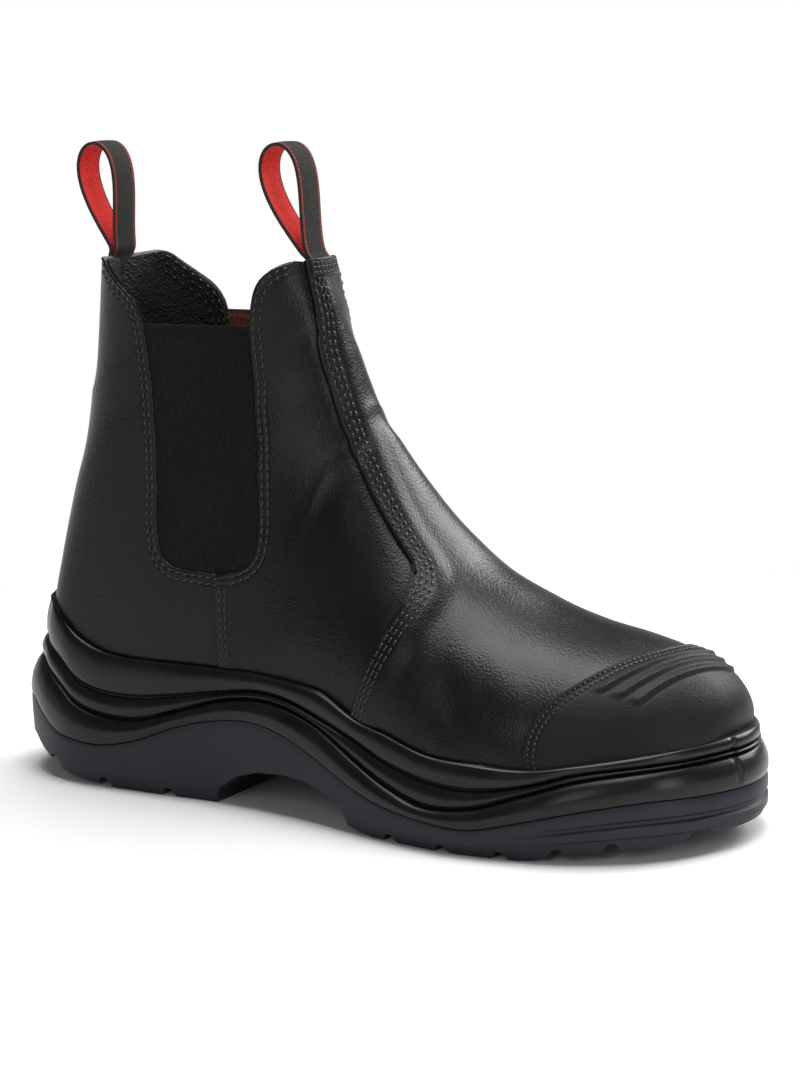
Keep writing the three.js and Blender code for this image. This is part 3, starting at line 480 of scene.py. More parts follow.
def creases_at(points):
    """Height of the listed troughs and ridges at points of the skin."""
    total = np.zeros(points.shape[:-1])
    for u0, a0, u1, a1, half, height in CREASES:
        steps = np.linspace(0, 1, 9)
        line = skin(u0 + (u1 - u0) * steps, np.radians(a0 + (a1 - a0) * steps))
        nearest = np.full(points.shape[:-1], 1e9)
        for p, q in zip(line[:-1], line[1:]):
            way = q - p
            t = np.clip(((points - p) @ way) / (way @ way), 0, 1)
            nearest = np.minimum(nearest, np.linalg.norm(points - p - t[..., None] * way, axis=-1))
        total += height * np.exp(-(nearest / half) ** 2)
    return total


# Meshes

def to_frame(points):
    return (np.asarray(points) - CENTRE) * MM


def grid_mesh(points, uv=None, wrap=False, outward=None):
    """A bmesh of a grid of points in metres. outward is a direction of its middle face."""
    rows, columns = points.shape[:2]
    bm = bmesh.new()
    bmesh.ops.create_grid(bm, x_segments=columns - 1, y_segments=rows - 1, size=0.5)
    places = [(round((v.co.y + 0.5) * (rows - 1)), round((v.co.x + 0.5) * (columns - 1))) for v in bm.verts]
    layer = bm.loops.layers.uv.new("UVMap") if uv is not None else None
    if layer is not None:
        for face in bm.faces:
            for loop in face.loops:
                loop[layer].uv = uv[places[loop.vert.index]]
    for v, place in zip(bm.verts, places):
        v.co = points[place]
    bm.normal_update()
    if outward is not None:
        middle = min(bm.faces, key=lambda f: (f.calc_center_median()
                                              - Vector(points[rows // 2, columns // 2])).length_squared)
        if middle.normal.dot(Vector(outward)) < 0:
            bmesh.ops.reverse_faces(bm, faces=bm.faces[:])
    if wrap:
        bmesh.ops.remove_doubles(bm, verts=bm.verts[:], dist=1e-6)
    return bm


def close_loops(bm):
    """Fills every open loop of edges with one face."""
    bmesh.ops.holes_fill(bm, edges=[e for e in bm.edges if e.is_boundary], sides=0)


def as_object(name, bm, materials, smooth=True):
    mesh = bpy.data.meshes.new(name)
    bm.to_mesh(mesh)
    bm.free()
    for material in materials:
        mesh.materials.append(material)
    if smooth:
        mesh.shade_smooth()
    obj = bpy.data.objects.new(name, mesh)
    bpy.context.scene.collection.objects.link(obj)
    return obj


def apply_modifiers(obj):
    bpy.context.view_layer.update()
    graph = bpy.context.evaluated_depsgraph_get()
    mesh = bpy.data.meshes.new_from_object(obj.evaluated_get(graph))
    obj.modifiers.clear()
    old = obj.data
    obj.data = mesh
    bpy.data.meshes.remove(old)
    mesh.name = obj.name


def sharpen(obj, degrees):
    """Marks edges sharper than an angle, so that smooth shading stops there."""
    bm = bmesh.new()
    bm.from_mesh(obj.data)
    limit = math.radians(degrees)
    for edge in bm.edges:
        edge.smooth = edge.calc_face_angle(0.0) < limit
    bm.to_mesh(obj.data)
    bm.free()


def thicken(obj, thickness, inner=1, rim=2):
    """Gives a sheet its wall inwards; inner and rim are steps to those faces' materials."""
    solid = obj.modifiers.new("wall", "SOLIDIFY")
    solid.thickness = thickness
    solid.offset = -1
    solid.use_even_offset = False
    solid.use_rim = True
    solid.material_offset = inner
    solid.material_offset_rim = rim
    apply_modifiers(obj)


def settle(obj, slot, *nodes):
    """The piece rides on the boot and stands for CAD nodes."""
    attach(obj, "root")
    if nodes:
        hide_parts(*nodes)
    return obj


# Materials

def new_material(name):
    material = bpy.data.materials.get(name)
    if material:
        return material, None, None, None
    material = bpy.data.materials.new(name)
    material.use_nodes = True
    tree = material.node_tree
    shader = tree.nodes["Principled BSDF"]
    return material, tree, shader, tree.links


def node(tree, kind, **values):
    made = tree.nodes.new(kind)
    for key, value in values.items():
        if hasattr(made, key):
            setattr(made, key, value)
        else:
            made.inputs[key.replace("_", " ")].default_value = value
    return made


def noise(tree, coords, scale, detail=3.0, rough=0.55):
    made = tree.nodes.new("ShaderNodeTexNoise")
    made.inputs["Scale"].default_value = scale
    made.inputs["Detail"].default_value = detail
    made.inputs["Roughness"].default_value = rough
    tree.links.new(coords, made.inputs["Vector"])
    return made


def ramp(tree, fac, low, high, from_value, to_value):
    made = tree.nodes.new("ShaderNodeMapRange")
    made.inputs["From Min"].default_value = low
    made.inputs["From Max"].default_value = high
    made.inputs["To Min"].default_value = from_value
    made.inputs["To Max"].default_value = to_value
    tree.links.new(fac, made.inputs["Value"])
    return made.outputs["Result"]


def mix_colour(tree, fac, a, b):
    made = tree.nodes.new("ShaderNodeMix")
    made.data_type = "RGBA"
    tree.links.new(fac, made.inputs["Factor"])
    for socket, value in ((made.inputs[6], a), (made.inputs[7], b)):
        if isinstance(value, bpy.types.NodeSocket):
            tree.links.new(value, socket)
        else:
            socket.default_value = (*value, 1.0)
    return made.outputs[2]


def bump(tree, height, distance, strength=1.0, under=None):
    made = tree.nodes.new("ShaderNodeBump")
    made.inputs["Distance"].default_value = distance
    made.inputs["Strength"].default_value = strength
    tree.links.new(height, made.inputs["Height"])
    if under is not None:
        tree.links.new(under, made.inputs["Normal"])
    return made.outputs["Normal"]


def wave(tree, socket, period, phase=None):
    """A sine along a coordinate in metres, with an optional shift in radians."""
    inner = node(tree, "ShaderNodeMath", operation="MULTIPLY")
    tree.links.new(socket, inner.inputs[0])
    inner.inputs[1].default_value = 2 * math.pi / period
    if phase is not None:
        scaled, inner = inner, node(tree, "ShaderNodeMath", operation="ADD")
        tree.links.new(scaled.outputs[0], inner.inputs[0])
        tree.links.new(phase, inner.inputs[1])
    sine = node(tree, "ShaderNodeMath", operation="SINE")
    tree.links.new(inner.outputs[0], sine.inputs[0])
    return sine.outputs[0]


def leather_material(name, colour, rough=0.33, grain=1.0, lift=1.5, level=0.21):
    """Dyed leather: fine pebbled grain, faint clouding and dull rubbed places."""
    material, tree, shader, links = new_material(name)
    if tree is None:
        return material
    coords = tree.nodes.new("ShaderNodeTexCoord").outputs["Object"]
    cloud = noise(tree, coords, 38.0, 4.0, 0.6)
    fine = noise(tree, coords, 1500.0, 3.0, 0.6)
    pores = tree.nodes.new("ShaderNodeTexVoronoi")
    pores.feature = "SMOOTH_F1"
    pores.inputs["Scale"].default_value = 1150.0
    pores.inputs["Smoothness"].default_value = 0.6
    links.new(coords, pores.inputs["Vector"])
    wrinkle = noise(tree, coords, 210.0, 3.0, 0.55)
    lighter = tuple(min(1.0, c * lift) for c in colour)
    links.new(mix_colour(tree, ramp(tree, cloud.outputs["Fac"], 0.38, 0.68, 0, 1), colour, lighter),
              shader.inputs["Base Color"])
    links.new(ramp(tree, cloud.outputs["Fac"], 0.3, 0.7, rough - 0.05, rough + 0.06),
              shader.inputs["Roughness"])
    shader.inputs["Specular IOR Level"].default_value = level
    under = bump(tree, wrinkle.outputs["Fac"], 0.00022 * grain, 0.5)
    under = bump(tree, pores.outputs["Distance"], 0.00016 * grain, 0.6, under)
    links.new(bump(tree, fine.outputs["Fac"], 0.00008 * grain, 0.6, under), shader.inputs["Normal"])
    return material


def moulded_material(name, colour, rough, lift=1.6, pebble=0.00003):
    """Moulded rubber or foam skin: faint mottling, fine mould texture and soft gloss."""
    material, tree, shader, links = new_material(name)
    if tree is None:
        return material
    coords = tree.nodes.new("ShaderNodeTexCoord").outputs["Object"]
    cloud = noise(tree, coords, 55.0, 5.0, 0.6)
    fine = noise(tree, coords, 1900.0, 2.0, 0.5)
    flow = noise(tree, coords, 120.0, 2.0, 0.5)
    lighter = tuple(min(1.0, c * lift) for c in colour)
    links.new(mix_colour(tree, ramp(tree, cloud.outputs["Fac"], 0.35, 0.7, 0, 1), colour, lighter),
              shader.inputs["Base Color"])
    links.new(ramp(tree, cloud.outputs["Fac"], 0.3, 0.7, rough - 0.04, rough + 0.07),
              shader.inputs["Roughness"])
    under = bump(tree, flow.outputs["Fac"], 0.0002, 0.35)
    links.new(bump(tree, fine.outputs["Fac"], pebble, 0.5, under), shader.inputs["Normal"])
    shader.inputs["Specular IOR Level"].default_value = 0.27
    return material


def elastic_material(name, colour, spacing=0.0011):
    """Ribbed elastic: ribs run up, with short woven ticks across each. UV is in metres."""
    material, tree, shader, links = new_material(name)
    if tree is None:
        return material
    uv = tree.nodes.new("ShaderNodeUVMap")
    uv.uv_map = "UVMap"
    coords = tree.nodes.new("ShaderNodeTexCoord").outputs["Object"]
    split = tree.nodes.new("ShaderNodeSeparateXYZ")
    links.new(uv.outputs["UV"], split.inputs["Vector"])

    jitter = noise(tree, coords, 900.0, 2.0, 0.6)
    shift = ramp(tree, jitter.outputs["Fac"], 0.3, 0.7, -1.3, 1.3)
    ribs = wave(tree, split.outputs["X"], spacing, shift)
    ticks = wave(tree, split.outputs["Y"], spacing * 0.85, shift)
    both = node(tree, "ShaderNodeMath", operation="MULTIPLY_ADD")
    links.new(ticks, both.inputs[0])
    both.inputs[1].default_value = 0.35
    links.new(ribs, both.inputs[2])
    speck = noise(tree, coords, 1300.0, 2.0, 0.7)
    lighter = tuple(min(1.0, c * 3.2) for c in colour)
    links.new(mix_colour(tree, ramp(tree, speck.outputs["Fac"], 0.45, 0.75, 0, 1), colour, lighter),
              shader.inputs["Base Color"])
    shader.inputs["Roughness"].default_value = 0.85
    shader.inputs["Specular IOR Level"].default_value = 0.12
    shader.inputs["Sheen Weight"].default_value = 0.02
    shader.inputs["Sheen Roughness"].default_value = 0.5
    under = bump(tree, both.outputs[0], 0.00022, 0.8)
    links.new(bump(tree, speck.outputs["Fac"], 0.0002, 0.5, under), shader.inputs["Normal"])
    return material


def webbing_material(name, ground, edge, line=None):
    """Woven webbing by UV in metres, x across from 0 to its width: ground, a selvage edge and a fine line."""
    material, tree, shader, links = new_material(name)
    if tree is None:
        return material
    width = sizes().webbing
    uv = tree.nodes.new("ShaderNodeUVMap")
    uv.uv_map = "UVMap"
    split = tree.nodes.new("ShaderNodeSeparateXYZ")
    links.new(uv.outputs["UV"], split.inputs["Vector"])
    centred = node(tree, "ShaderNodeMath", operation="SUBTRACT")
    links.new(split.outputs["X"], centred.inputs[0])
    centred.inputs[1].default_value = width / 2
    away = node(tree, "ShaderNodeMath", operation="ABSOLUTE")
    links.new(centred.outputs[0], away.inputs[0])
    coords = tree.nodes.new("ShaderNodeTexCoord").outputs["Object"]
    fuzz = noise(tree, coords, 1600.0, 2.0, 0.6)
    wobble = ramp(tree, fuzz.outputs["Fac"], 0.3, 0.7, -0.00012, 0.00012)
    edge_at = node(tree, "ShaderNodeMath", operation="ADD")
    links.new(away.outputs[0], edge_at.inputs[0])
    links.new(wobble, edge_at.inputs[1])
    lighter = tuple(min(1.0, c * 1.5) for c in ground)
    base = mix_colour(tree, ramp(tree, fuzz.outputs["Fac"], 0.35, 0.65, 0, 1), ground, lighter)
    at_edge = ramp(tree, edge_at.outputs[0], width / 2 - 0.0007, width / 2 - 0.0004, 0, 1)
    colour = mix_colour(tree, at_edge, base, edge)
    if line is not None:
        near = node(tree, "ShaderNodeMath", operation="COMPARE")
        links.new(edge_at.outputs[0], near.inputs[0])
        near.inputs[1].default_value = width / 2 - 0.0009
        near.inputs[2].default_value = 0.0003
        dashes = node(tree, "ShaderNodeMath", operation="PINGPONG")
        links.new(split.outputs["Y"], dashes.inputs[0])
        dashes.inputs[1].default_value = 0.0007
        dashed = node(tree, "ShaderNodeMath", operation="MULTIPLY")
        links.new(near.outputs[0], dashed.inputs[0])
        links.new(ramp(tree, dashes.outputs[0], 0.0002, 0.0003, 0.25, 0.9), dashed.inputs[1])
        colour = mix_colour(tree, dashed.outputs[0], colour, line)
    links.new(colour, shader.inputs["Base Color"])
    shader.inputs["Roughness"].default_value = 0.8
    shader.inputs["Specular IOR Level"].default_value = 0.2
    shader.inputs["Sheen Weight"].default_value = 0.03

    warp = wave(tree, split.outputs["X"], 0.0009)
    weft = wave(tree, split.outputs["Y"], 0.0007)
    weave = node(tree, "ShaderNodeMath", operation="MULTIPLY")
    links.new(warp, weave.inputs[0])
    links.new(weft, weave.inputs[1])
    links.new(bump(tree, weave.outputs[0], 0.00012, 0.8), shader.inputs["Normal"])
    return material


def plain_material(name, colour, rough, bump_scale=1400.0, bump_height=0.00008, sheen=0.0):
    """Small fibrous or moulded surfaces: mottled colour with a fine bump."""
    material, tree, shader, links = new_material(name)
    if tree is None:
        return material
    coords = tree.nodes.new("ShaderNodeTexCoord").outputs["Object"]
    fine = noise(tree, coords, bump_scale, 3.0, 0.6)
    lighter = tuple(min(1.0, c * 1.7) for c in colour)
    links.new(mix_colour(tree, ramp(tree, fine.outputs["Fac"], 0.35, 0.7, 0, 1), colour, lighter),
              shader.inputs["Base Color"])
    shader.inputs["Roughness"].default_value = rough
    shader.inputs["Sheen Weight"].default_value = sheen
    links.new(bump(tree, fine.outputs["Fac"], bump_height, 0.6), shader.inputs["Normal"])
    return material


def leather_materials():
    """Outside, inside and cut edge of a leather panel."""
    return [
        leather_material("leather_outside", tuple(colours().leather)),
        leather_material("upper_lining", (0.016, 0.015, 0.013), 0.40, 7.0),
        plain_material("leather_cut_edge", (0.024, 0.024, 0.0235), 0.6, 900.0, 0.0002),
    ]


# The seams' lines on one side, in (row, angle)

def front_seam(side):
    table = FRONT_SEAM if side < 0 else FRONT_SEAM_INNER
    return np.stack([table[:, 0], side * np.radians(table[:, 1])], -1)


def seam_line(curve, count=900):
    """Closely spaced points of a curve on the skin, for measuring distances from it."""
    fine, _ = resample(curve, count)
    return skin(fine[:, 0], fine[:, 1])


def edge_curve(table, side):
    """A table of (along, height) as a curve in (row, angle) on one side of the skin."""
    return find(table, side)


# Distances of the stitch rows from their edges, in millimetres
FRONT_ROWS = (1.9, 3.9, 5.9)
GORE_ROWS = (1.6, 3.9)
SIDE_ROWS = (1.9, 4.1)
CAP_ROWS = (1.9, 4.1)


def lift_front(points, lines):
    """Offset of the front piece: a raised, stitched band along its seams, worn edge and grooves."""
    s = sizes()
    d = np.minimum(distance_to(points, lines[0]), distance_to(points, lines[1]))
    band = s.seam_band / MM
    raise_mm = s.seam_raise / MM
    lift = raise_mm * (1 - smooth_step((d - band + 2.5) / 9.0)) + 0.1 * np.exp(-((d - 0.8) / 0.6) ** 2)
    for middle in FRONT_ROWS:
        lift = lift + groove(d, middle, 0.75, 0.2)
    return lift + worn_edge(d, 0.9)


def lift_quarter(points, seam, edge, side_seam):
    """Offset of a quarter: pressed in beside the front seam, raised and stitched round the gore."""
    s = sizes()
    to_seam = distance_to(points, seam)
    to_edge = distance_to(points, edge)
    to_side = distance_to(points, side_seam)
    lift = -0.35 * np.exp(-(to_seam / 2.2) ** 2)
    lift = lift + 1.1 * (1 - smooth_step((to_side - 4.0) / 5.0)) + worn_edge(to_side, 0.8)
    for middle in SIDE_ROWS:
        lift = lift + groove(to_side, middle, 0.7, 0.2)
    for middle in GORE_ROWS:
        lift = lift + groove(to_edge, middle, 0.7, 0.22)
    return lift + worn_edge(to_edge, s.edge_round / MM) + 0.2 * np.exp(-((to_edge - 0.8) / 0.6) ** 2)


class PieceOperator:
    """What the boot's operators share"""

    bl_options = {"REGISTER"}

    @classmethod
    def poll(cls, context):
        return context.scene is not None


class BOOT_OT_front_piece(PieceOperator, bpy.types.Operator):
    """Makes the front piece of leather, from under the toe cap to the front tab"""

    bl_idname = "boot.front_piece"
    bl_label = "Front piece"

    def execute(self, context):
        strip_rows, strip_columns, side_columns, low_rows = 130, 84, 72, 118
        join_row = 9.95
        # Strip up the front of the shaft, cut off along the collar
        rows = np.linspace(join_row, FRONT_SEAM[-1, 0] + 0.02, strip_rows)
        outer_a, inner_a = (np.interp(rows, seam[8:, 0], seam[8:, 1]) for seam in map(front_seam, (-1, 1)))
        share = np.linspace(0, 1, strip_columns + 1)
        strip_u = np.repeat(rows[:, None], strip_columns + 1, 1)
        strip_a = outer_a[:, None] * (1 - share) + inner_a[:, None] * share
        for _ in range(4):
            p = skin(strip_u, strip_a)
            top = np.interp(p[..., 0], *COLLAR_FRONT)
            strip_u = strip_u - np.maximum(p[..., 2] - top, 0) / 26.0
        # Lower part: columns run from the sole over the ridge to the other side
        count = side_columns * 2 + strip_columns + 1
        index = np.arange(count)
        outside = np.clip((side_columns - index) / side_columns, 0, 1)
        inside = np.clip((index - side_columns - strip_columns) / side_columns, 0, 1)
        across = np.clip((index - side_columns) / strip_columns, 0, 1)
        middle_a = outer_a[0] * (1 - across) + inner_a[0] * across
        lower = [seam[:9][::-1] for seam in map(front_seam, (-1, 1))]

        def angles_at(u):
            reach = reach_at(u)
            return middle_a + outside * (-reach - outer_a[0]) + inside * (reach - inner_a[0])

        end_u = np.full(count, join_row)
        for _ in range(30):
            end_a = angles_at(end_u)
            on_seam = np.where(outside > 0, np.interp(-end_a, -lower[0][:, 1], lower[0][:, 0]),
                               np.interp(end_a, lower[1][:, 1], lower[1][:, 0]))
            end_u = 0.5 * end_u + 0.5 * np.where(outside + inside > 0, on_seam, join_row)
        t = np.linspace(0, 1, low_rows)
        low_u = 4.7 + (end_u[None, :] - 4.7) * t[:, None]
        low_a = angles_at(low_u)
        lines = [seam_line(front_seam(-1)), seam_line(front_seam(1))]
        bm = None
        for u, a in ((low_u, low_a), (strip_u, strip_a)):
            base = skin(u, a)
            offset = lift_front(base, lines) + creases_at(base)
            points = to_frame(on_skin(u, a, offset))
            middle = (u.shape[0] // 2, u.shape[1] // 2)
            part = grid_mesh(points, outward=outwards(u, a)[middle])
            if bm is None:
                bm = part
            else:
                mesh = bpy.data.meshes.new("strip")
                part.to_mesh(mesh)
                part.free()
                bm.from_mesh(mesh)
                bpy.data.meshes.remove(mesh)
        bmesh.ops.remove_doubles(bm, verts=bm.verts[:], dist=2e-5)
        piece = as_object("front_piece", bm, leather_materials())
        thicken(piece, sizes().leather)
        sharpen(piece, 38)
        settle(piece, "upper_leather", "upper")
        return {"FINISHED"}


def eased(fixed, length, count):
    """Shares from 0 to 1: fixed distances in millimetres first, then even steps."""
    fixed = np.asarray(fixed) / length
    return np.concatenate([fixed, np.linspace(fixed[-1], 1, count)[1:]])


def patch(bottom, top, left, right, across, upwards):
    """A surface in (row, angle) stretched between four edge curves at the given shares."""
    b, t = (np.stack([np.interp(across, np.linspace(0, 1, len(c)), c[:, i]) for i in (0, 1)], -1)
            for c in (bottom, top))
    start, end = (np.stack([np.interp(upwards, np.linspace(0, 1, len(c)), c[:, i]) for i in (0, 1)], -1)
                  for c in (left, right))
    k = across[None, :, None]
    v = upwards[:, None, None]
    corners = ((1 - k) * (1 - v) * b[0] + k * (1 - v) * b[-1] + (1 - k) * v * t[0] + k * v * t[-1])
    return (1 - v) * b[None] + v * t[None] + (1 - k) * start[:, None] + k * end[:, None] - corners


NEAR_EDGE = (0, 0.25, 0.55, 0.9, 1.3, 1.7, 2.2, 2.7, 3.2, 3.7, 4.2, 4.8, 5.6, 6.6, 8.0)


def foot_curve(places, side, count=200):
    """The skin's foot along the sole, through the given places along the boot."""
    rows = []
    for x in places:
        low, high = 0.5, 19.0
        for _ in range(40):
            middle = (low + high) / 2
            angle = reach_at(np.array(middle))
            if skin(middle, side * angle)[0] > x:
                low = middle
            else:
                high = middle
        rows.append((low, side * float(reach_at(np.array(low)))))
    return catmull(np.array(rows), np.linspace(0, len(rows) - 1, count))


def leather_piece(name, u, a, offset):
    """A leather panel from its grid of rows, angles and offsets."""
    middle = (u.shape[0] // 2, u.shape[1] // 2)
    bm = grid_mesh(to_frame(on_skin(u, a, offset)), outward=outwards(u, a)[middle], wrap=True)
    piece = as_object(name, bm, leather_materials())
    thicken(piece, sizes().leather)
    sharpen(piece, 38)
    return settle(piece, "upper_leather", "upper")


class BOOT_OT_quarters(PieceOperator, bpy.types.Operator):
    """Makes the two quarters, between the front seam, the gore and the side seam"""

    bl_idname = "boot.quarters"
    bl_label = "Quarters"

    def execute(self, context):
        for side, name in ((-1, "quarter_outer"), (1, "quarter_inner")):
            seam = front_seam(side)
            edge = edge_curve(QUARTER_EDGE if side < 0 else QUARTER_EDGE_INNER, side)
            edge[0, 1] = side * reach_at(edge[0, 0])
            count, low_count = 300, 90
            low_part, low_length = resample(edge[:5], low_count)
            high_part, high_length = resample(edge[4:], count - low_count + 1)
            edge_at = np.concatenate([low_part, high_part[1:]])
            edge_keys = np.concatenate([np.linspace(0, low_length, low_count),
                                        low_length + np.linspace(0, high_length, count - low_count + 1)[1:]])
            points = skin(edge[:, 0], edge[:, 1])
            keys = np.concatenate([[0], np.cumsum(np.linalg.norm(np.diff(points, axis=0), axis=1))])
            pairs = QUARTER_PAIRS[:len(edge) - 1].tolist() + [0.995]
            seam_keys = np.interp(edge_keys / edge_keys[-1], keys / keys[-1], pairs)
            under = shifted(resample(seam, 200)[0], side * 4.0)
            seam_at, _ = resample(under, count, seam_keys)
            far, close = (skin(line[:, 0], line[:, 1]) for line in (seam_at, edge_at))
            span = np.linalg.norm(far - close, axis=1)
            near = np.array(NEAR_EDGE)[:, None] * np.minimum(1, 0.45 * span / 8.0)[None, :] / span[None, :]
            rest = np.linspace(0, 1, 72)[1:, None] * (1 - near[-1:]) + near[-1:]
            share = np.concatenate([near, rest])
            u = edge_at[None, :, 0] * (1 - share) + seam_at[None, :, 0] * share
            a = edge_at[None, :, 1] * (1 - share) + seam_at[None, :, 1] * share
            base = skin(u, a)
            offset = lift_quarter(base, seam_line(seam), seam_line(edge[4:]), seam_line(edge[:5]))
            leather_piece(name, u, a, offset + creases_at(base))
        return {"FINISHED"}


class BOOT_OT_back_piece(PieceOperator, bpy.types.Operator):
    """Makes the back piece, round the heel from one side seam to the other and up the back tab"""

    bl_idname = "boot.back_piece"
    bl_label = "Back piece"

    def execute(self, context):
        halves = []
        for side in (-1, 1):
            edge = edge_curve(BACK_EDGE, side)
            left, _ = resample(edge[:5], 200)
            top, top_length = resample(edge[4:], 400)
            heel_rows = np.linspace(HEEL_FOOT_ROW, top[-1, 0], 300)
            right = np.stack([heel_rows, np.full(300, side * math.pi)], -1)
            top[-1] = right[-1]
            bottom = foot_curve(BACK_FOOT, side)
            bottom[-1] = right[0]
            left[0] = bottom[0]
            across = eased(NEAR_EDGE, top_length, 150)
            upwards = 1 - eased(NEAR_EDGE, 120.0, 120)[::-1]
            grid = patch(bottom, top, left, right, across, upwards)
            if side < 0:
                grid = grid + np.array([0, 2 * math.pi])
            halves.append(grid if side > 0 else grid[:, ::-1])
        grid = np.concatenate([halves[1], halves[0][:, 1:]], axis=1)
        u, a = grid[..., 0], grid[..., 1]
        base = skin(u, a)
        low_edge, high_edge = (
            np.minimum(*(distance_to(base, seam_line(edge_curve(BACK_EDGE, side)[part])) for side in (-1, 1)))
            for part in (slice(0, 5), slice(4, None)))
        offset = -0.3 * np.exp(-(low_edge / 2.0) ** 2) + worn_edge(high_edge, sizes().edge_round / MM)
        offset = offset + 0.2 * np.exp(-((high_edge - 0.8) / 0.6) ** 2)
        for middle in GORE_ROWS:
            offset = offset + groove(high_edge, middle, 0.7, 0.22)
        leather_piece("back_piece", u, a, offset + creases_at(base))
        return {"FINISHED"}


class BOOT_OT_toe_cap(PieceOperator, bpy.types.Operator):
    """Makes the coated toe cap with its stitched edge and ripples"""

    bl_idname = "boot.toe_cap"
    bl_label = "Toe cap"

    def execute(self, context):
        rows, columns = 190, 230
        share = np.linspace(-1, 1, columns)
        table = CAP_EDGE.copy()
        table[:, 0] = np.radians(table[:, 0])
        edge_u = np.full(columns, 5.5)
        for _ in range(30):
            edge_a = share * reach_at(edge_u)
            edge_u = 0.5 * edge_u + 0.5 * look_up(table, edge_a)[:, 1]
        first = 1.35
        close_rows = np.array([0, 0.15, 0.35, 0.6, 0.9, 1.3, 1.7, 2.1, 2.5, 3.0, 3.6, 4.3]) / 60.0
        d_rows = np.concatenate([close_rows, np.linspace(0.085, 1, rows - len(close_rows))])
        u = edge_u[None, :] * (1 - d_rows[:, None]) + first * d_rows[:, None]
        a = share[None, :] * reach_at(u)
        base = skin(u, a)
        back = np.stack([edge_u, share * reach_at(edge_u)], -1)
        d = distance_to(base, seam_line(back))
        offset = 1.75 - 0.55 * (1 - smooth_step(d / 7.0)) + worn_edge(d, 0.8)
        offset = offset + groove(d, CAP_ROWS[0], 0.9, 0.5) + groove(d, CAP_ROWS[1], 0.8, 0.28)
        ripples = CAP_RIPPLES.copy()
        ripples[:, 0] = np.radians(ripples[:, 0])
        fronts = look_up(ripples, a)
        low, high = ripples[0, 0], ripples[-1, 0]
        fade = smooth_step((a - low) / 0.07) * smooth_step((high - a) / 0.07)
        height = sizes().ripple / MM
        for i in (1, 2, 3):
            t = u - fronts[..., i]
            rise = np.clip(1 - (t - 0.06) / 0.27, 0, 1) ** 1.4
            drop = smooth_step((t + 0.08) / 0.16)
            offset = offset + height * fade * rise * drop * (t < 0.33)
            offset = offset - 0.12 * fade * np.exp(-((t + 0.09) / 0.04) ** 2)
        middle = (u.shape[0] // 2, u.shape[1] // 2)
        bm = grid_mesh(to_frame(on_skin(u, a, offset)), outward=outwards(u, a)[middle])
        material = leather_material("toe_cap_leather", tuple(colours().toe_cap), 0.52, 0.9, 1.2, 0.19)
        piece = as_object("toe_cap_shell", bm, [material])
        thicken(piece, 0.0015, 0, 0)
        sharpen(piece, 45)
        settle(piece, "toe_cap", "toe_cap")
        return {"FINISHED"}


def sole_stations(count):
    """Places round the sole with the direction outwards, evenly spaced."""
    n = len(SOLE_OUTLINE)
    table = np.concatenate([SOLE_OUTLINE[-2:], SOLE_OUTLINE, SOLE_OUTLINE[:3]])
    scale = np.array([SOLE_LENGTH, SOLE_WIDTH])
    t = np.linspace(2, 2 + n, 4001)
    fine = catmull(table, t) * scale
    length = np.concatenate([[0], np.cumsum(np.linalg.norm(np.diff(fine, axis=0), axis=1))])
    at = np.interp(np.linspace(0, length[-1], count + 1), length, t)
    places = catmull(table, at) * scale
    along = (catmull(table, at + STEP) - catmull(table, at - STEP)) * scale
    along /= np.linalg.norm(along, axis=1, keepdims=True)
    return places, np.stack([along[:, 1], -along[:, 0]], -1), length[-1] * np.linspace(0, 1, count + 1)


def tread_floor_at(x):
    return np.interp(x / SOLE_LENGTH, SOLE_FLOOR[:, 0], SOLE_FLOOR[:, 1]) * SOLE_LENGTH


def levels_at(x):
    row = look_up(SOLE_SIDE, np.clip(x / SOLE_LENGTH, 0, 1))
    return row[..., 1:6] * CUP_HEIGHT, row[..., 6] * SOLE_WIDTH


def leather_offsets(places, out, heights):
    """How far inside the sole's outline the upper's skin lies, at one height for each station."""
    grid_u, grid_a = np.meshgrid(np.linspace(0.6, 18, 420), np.linspace(-math.pi, math.pi, 500),
                                 indexing="ij")
    points = skin(grid_u, grid_a).reshape(-1, 3)
    points = points[(points[:, 2] < 80) & (points[:, 2] > 14)]
    found = []
    for place, way, z in zip(places, out, heights):
        rel = points[:, :2] - place
        inward = rel @ way
        sideways = np.abs(rel @ np.array([-way[1], way[0]]))
        near = (np.abs(points[:, 2] - z) < 0.9) & (sideways < 1.6) & (inward > -22) & (inward < 4)
        found.append(inward[near].max() if near.any() else np.nan)
    found = np.array(found)
    good = ~np.isnan(found)
    index = np.arange(len(found))
    found = np.interp(index, index[good], found[good])
    kernel = np.ones(13) / 13
    padded = np.concatenate([found[-7:-1], found, found[1:7]])
    return np.convolve(padded, kernel, mode="valid")


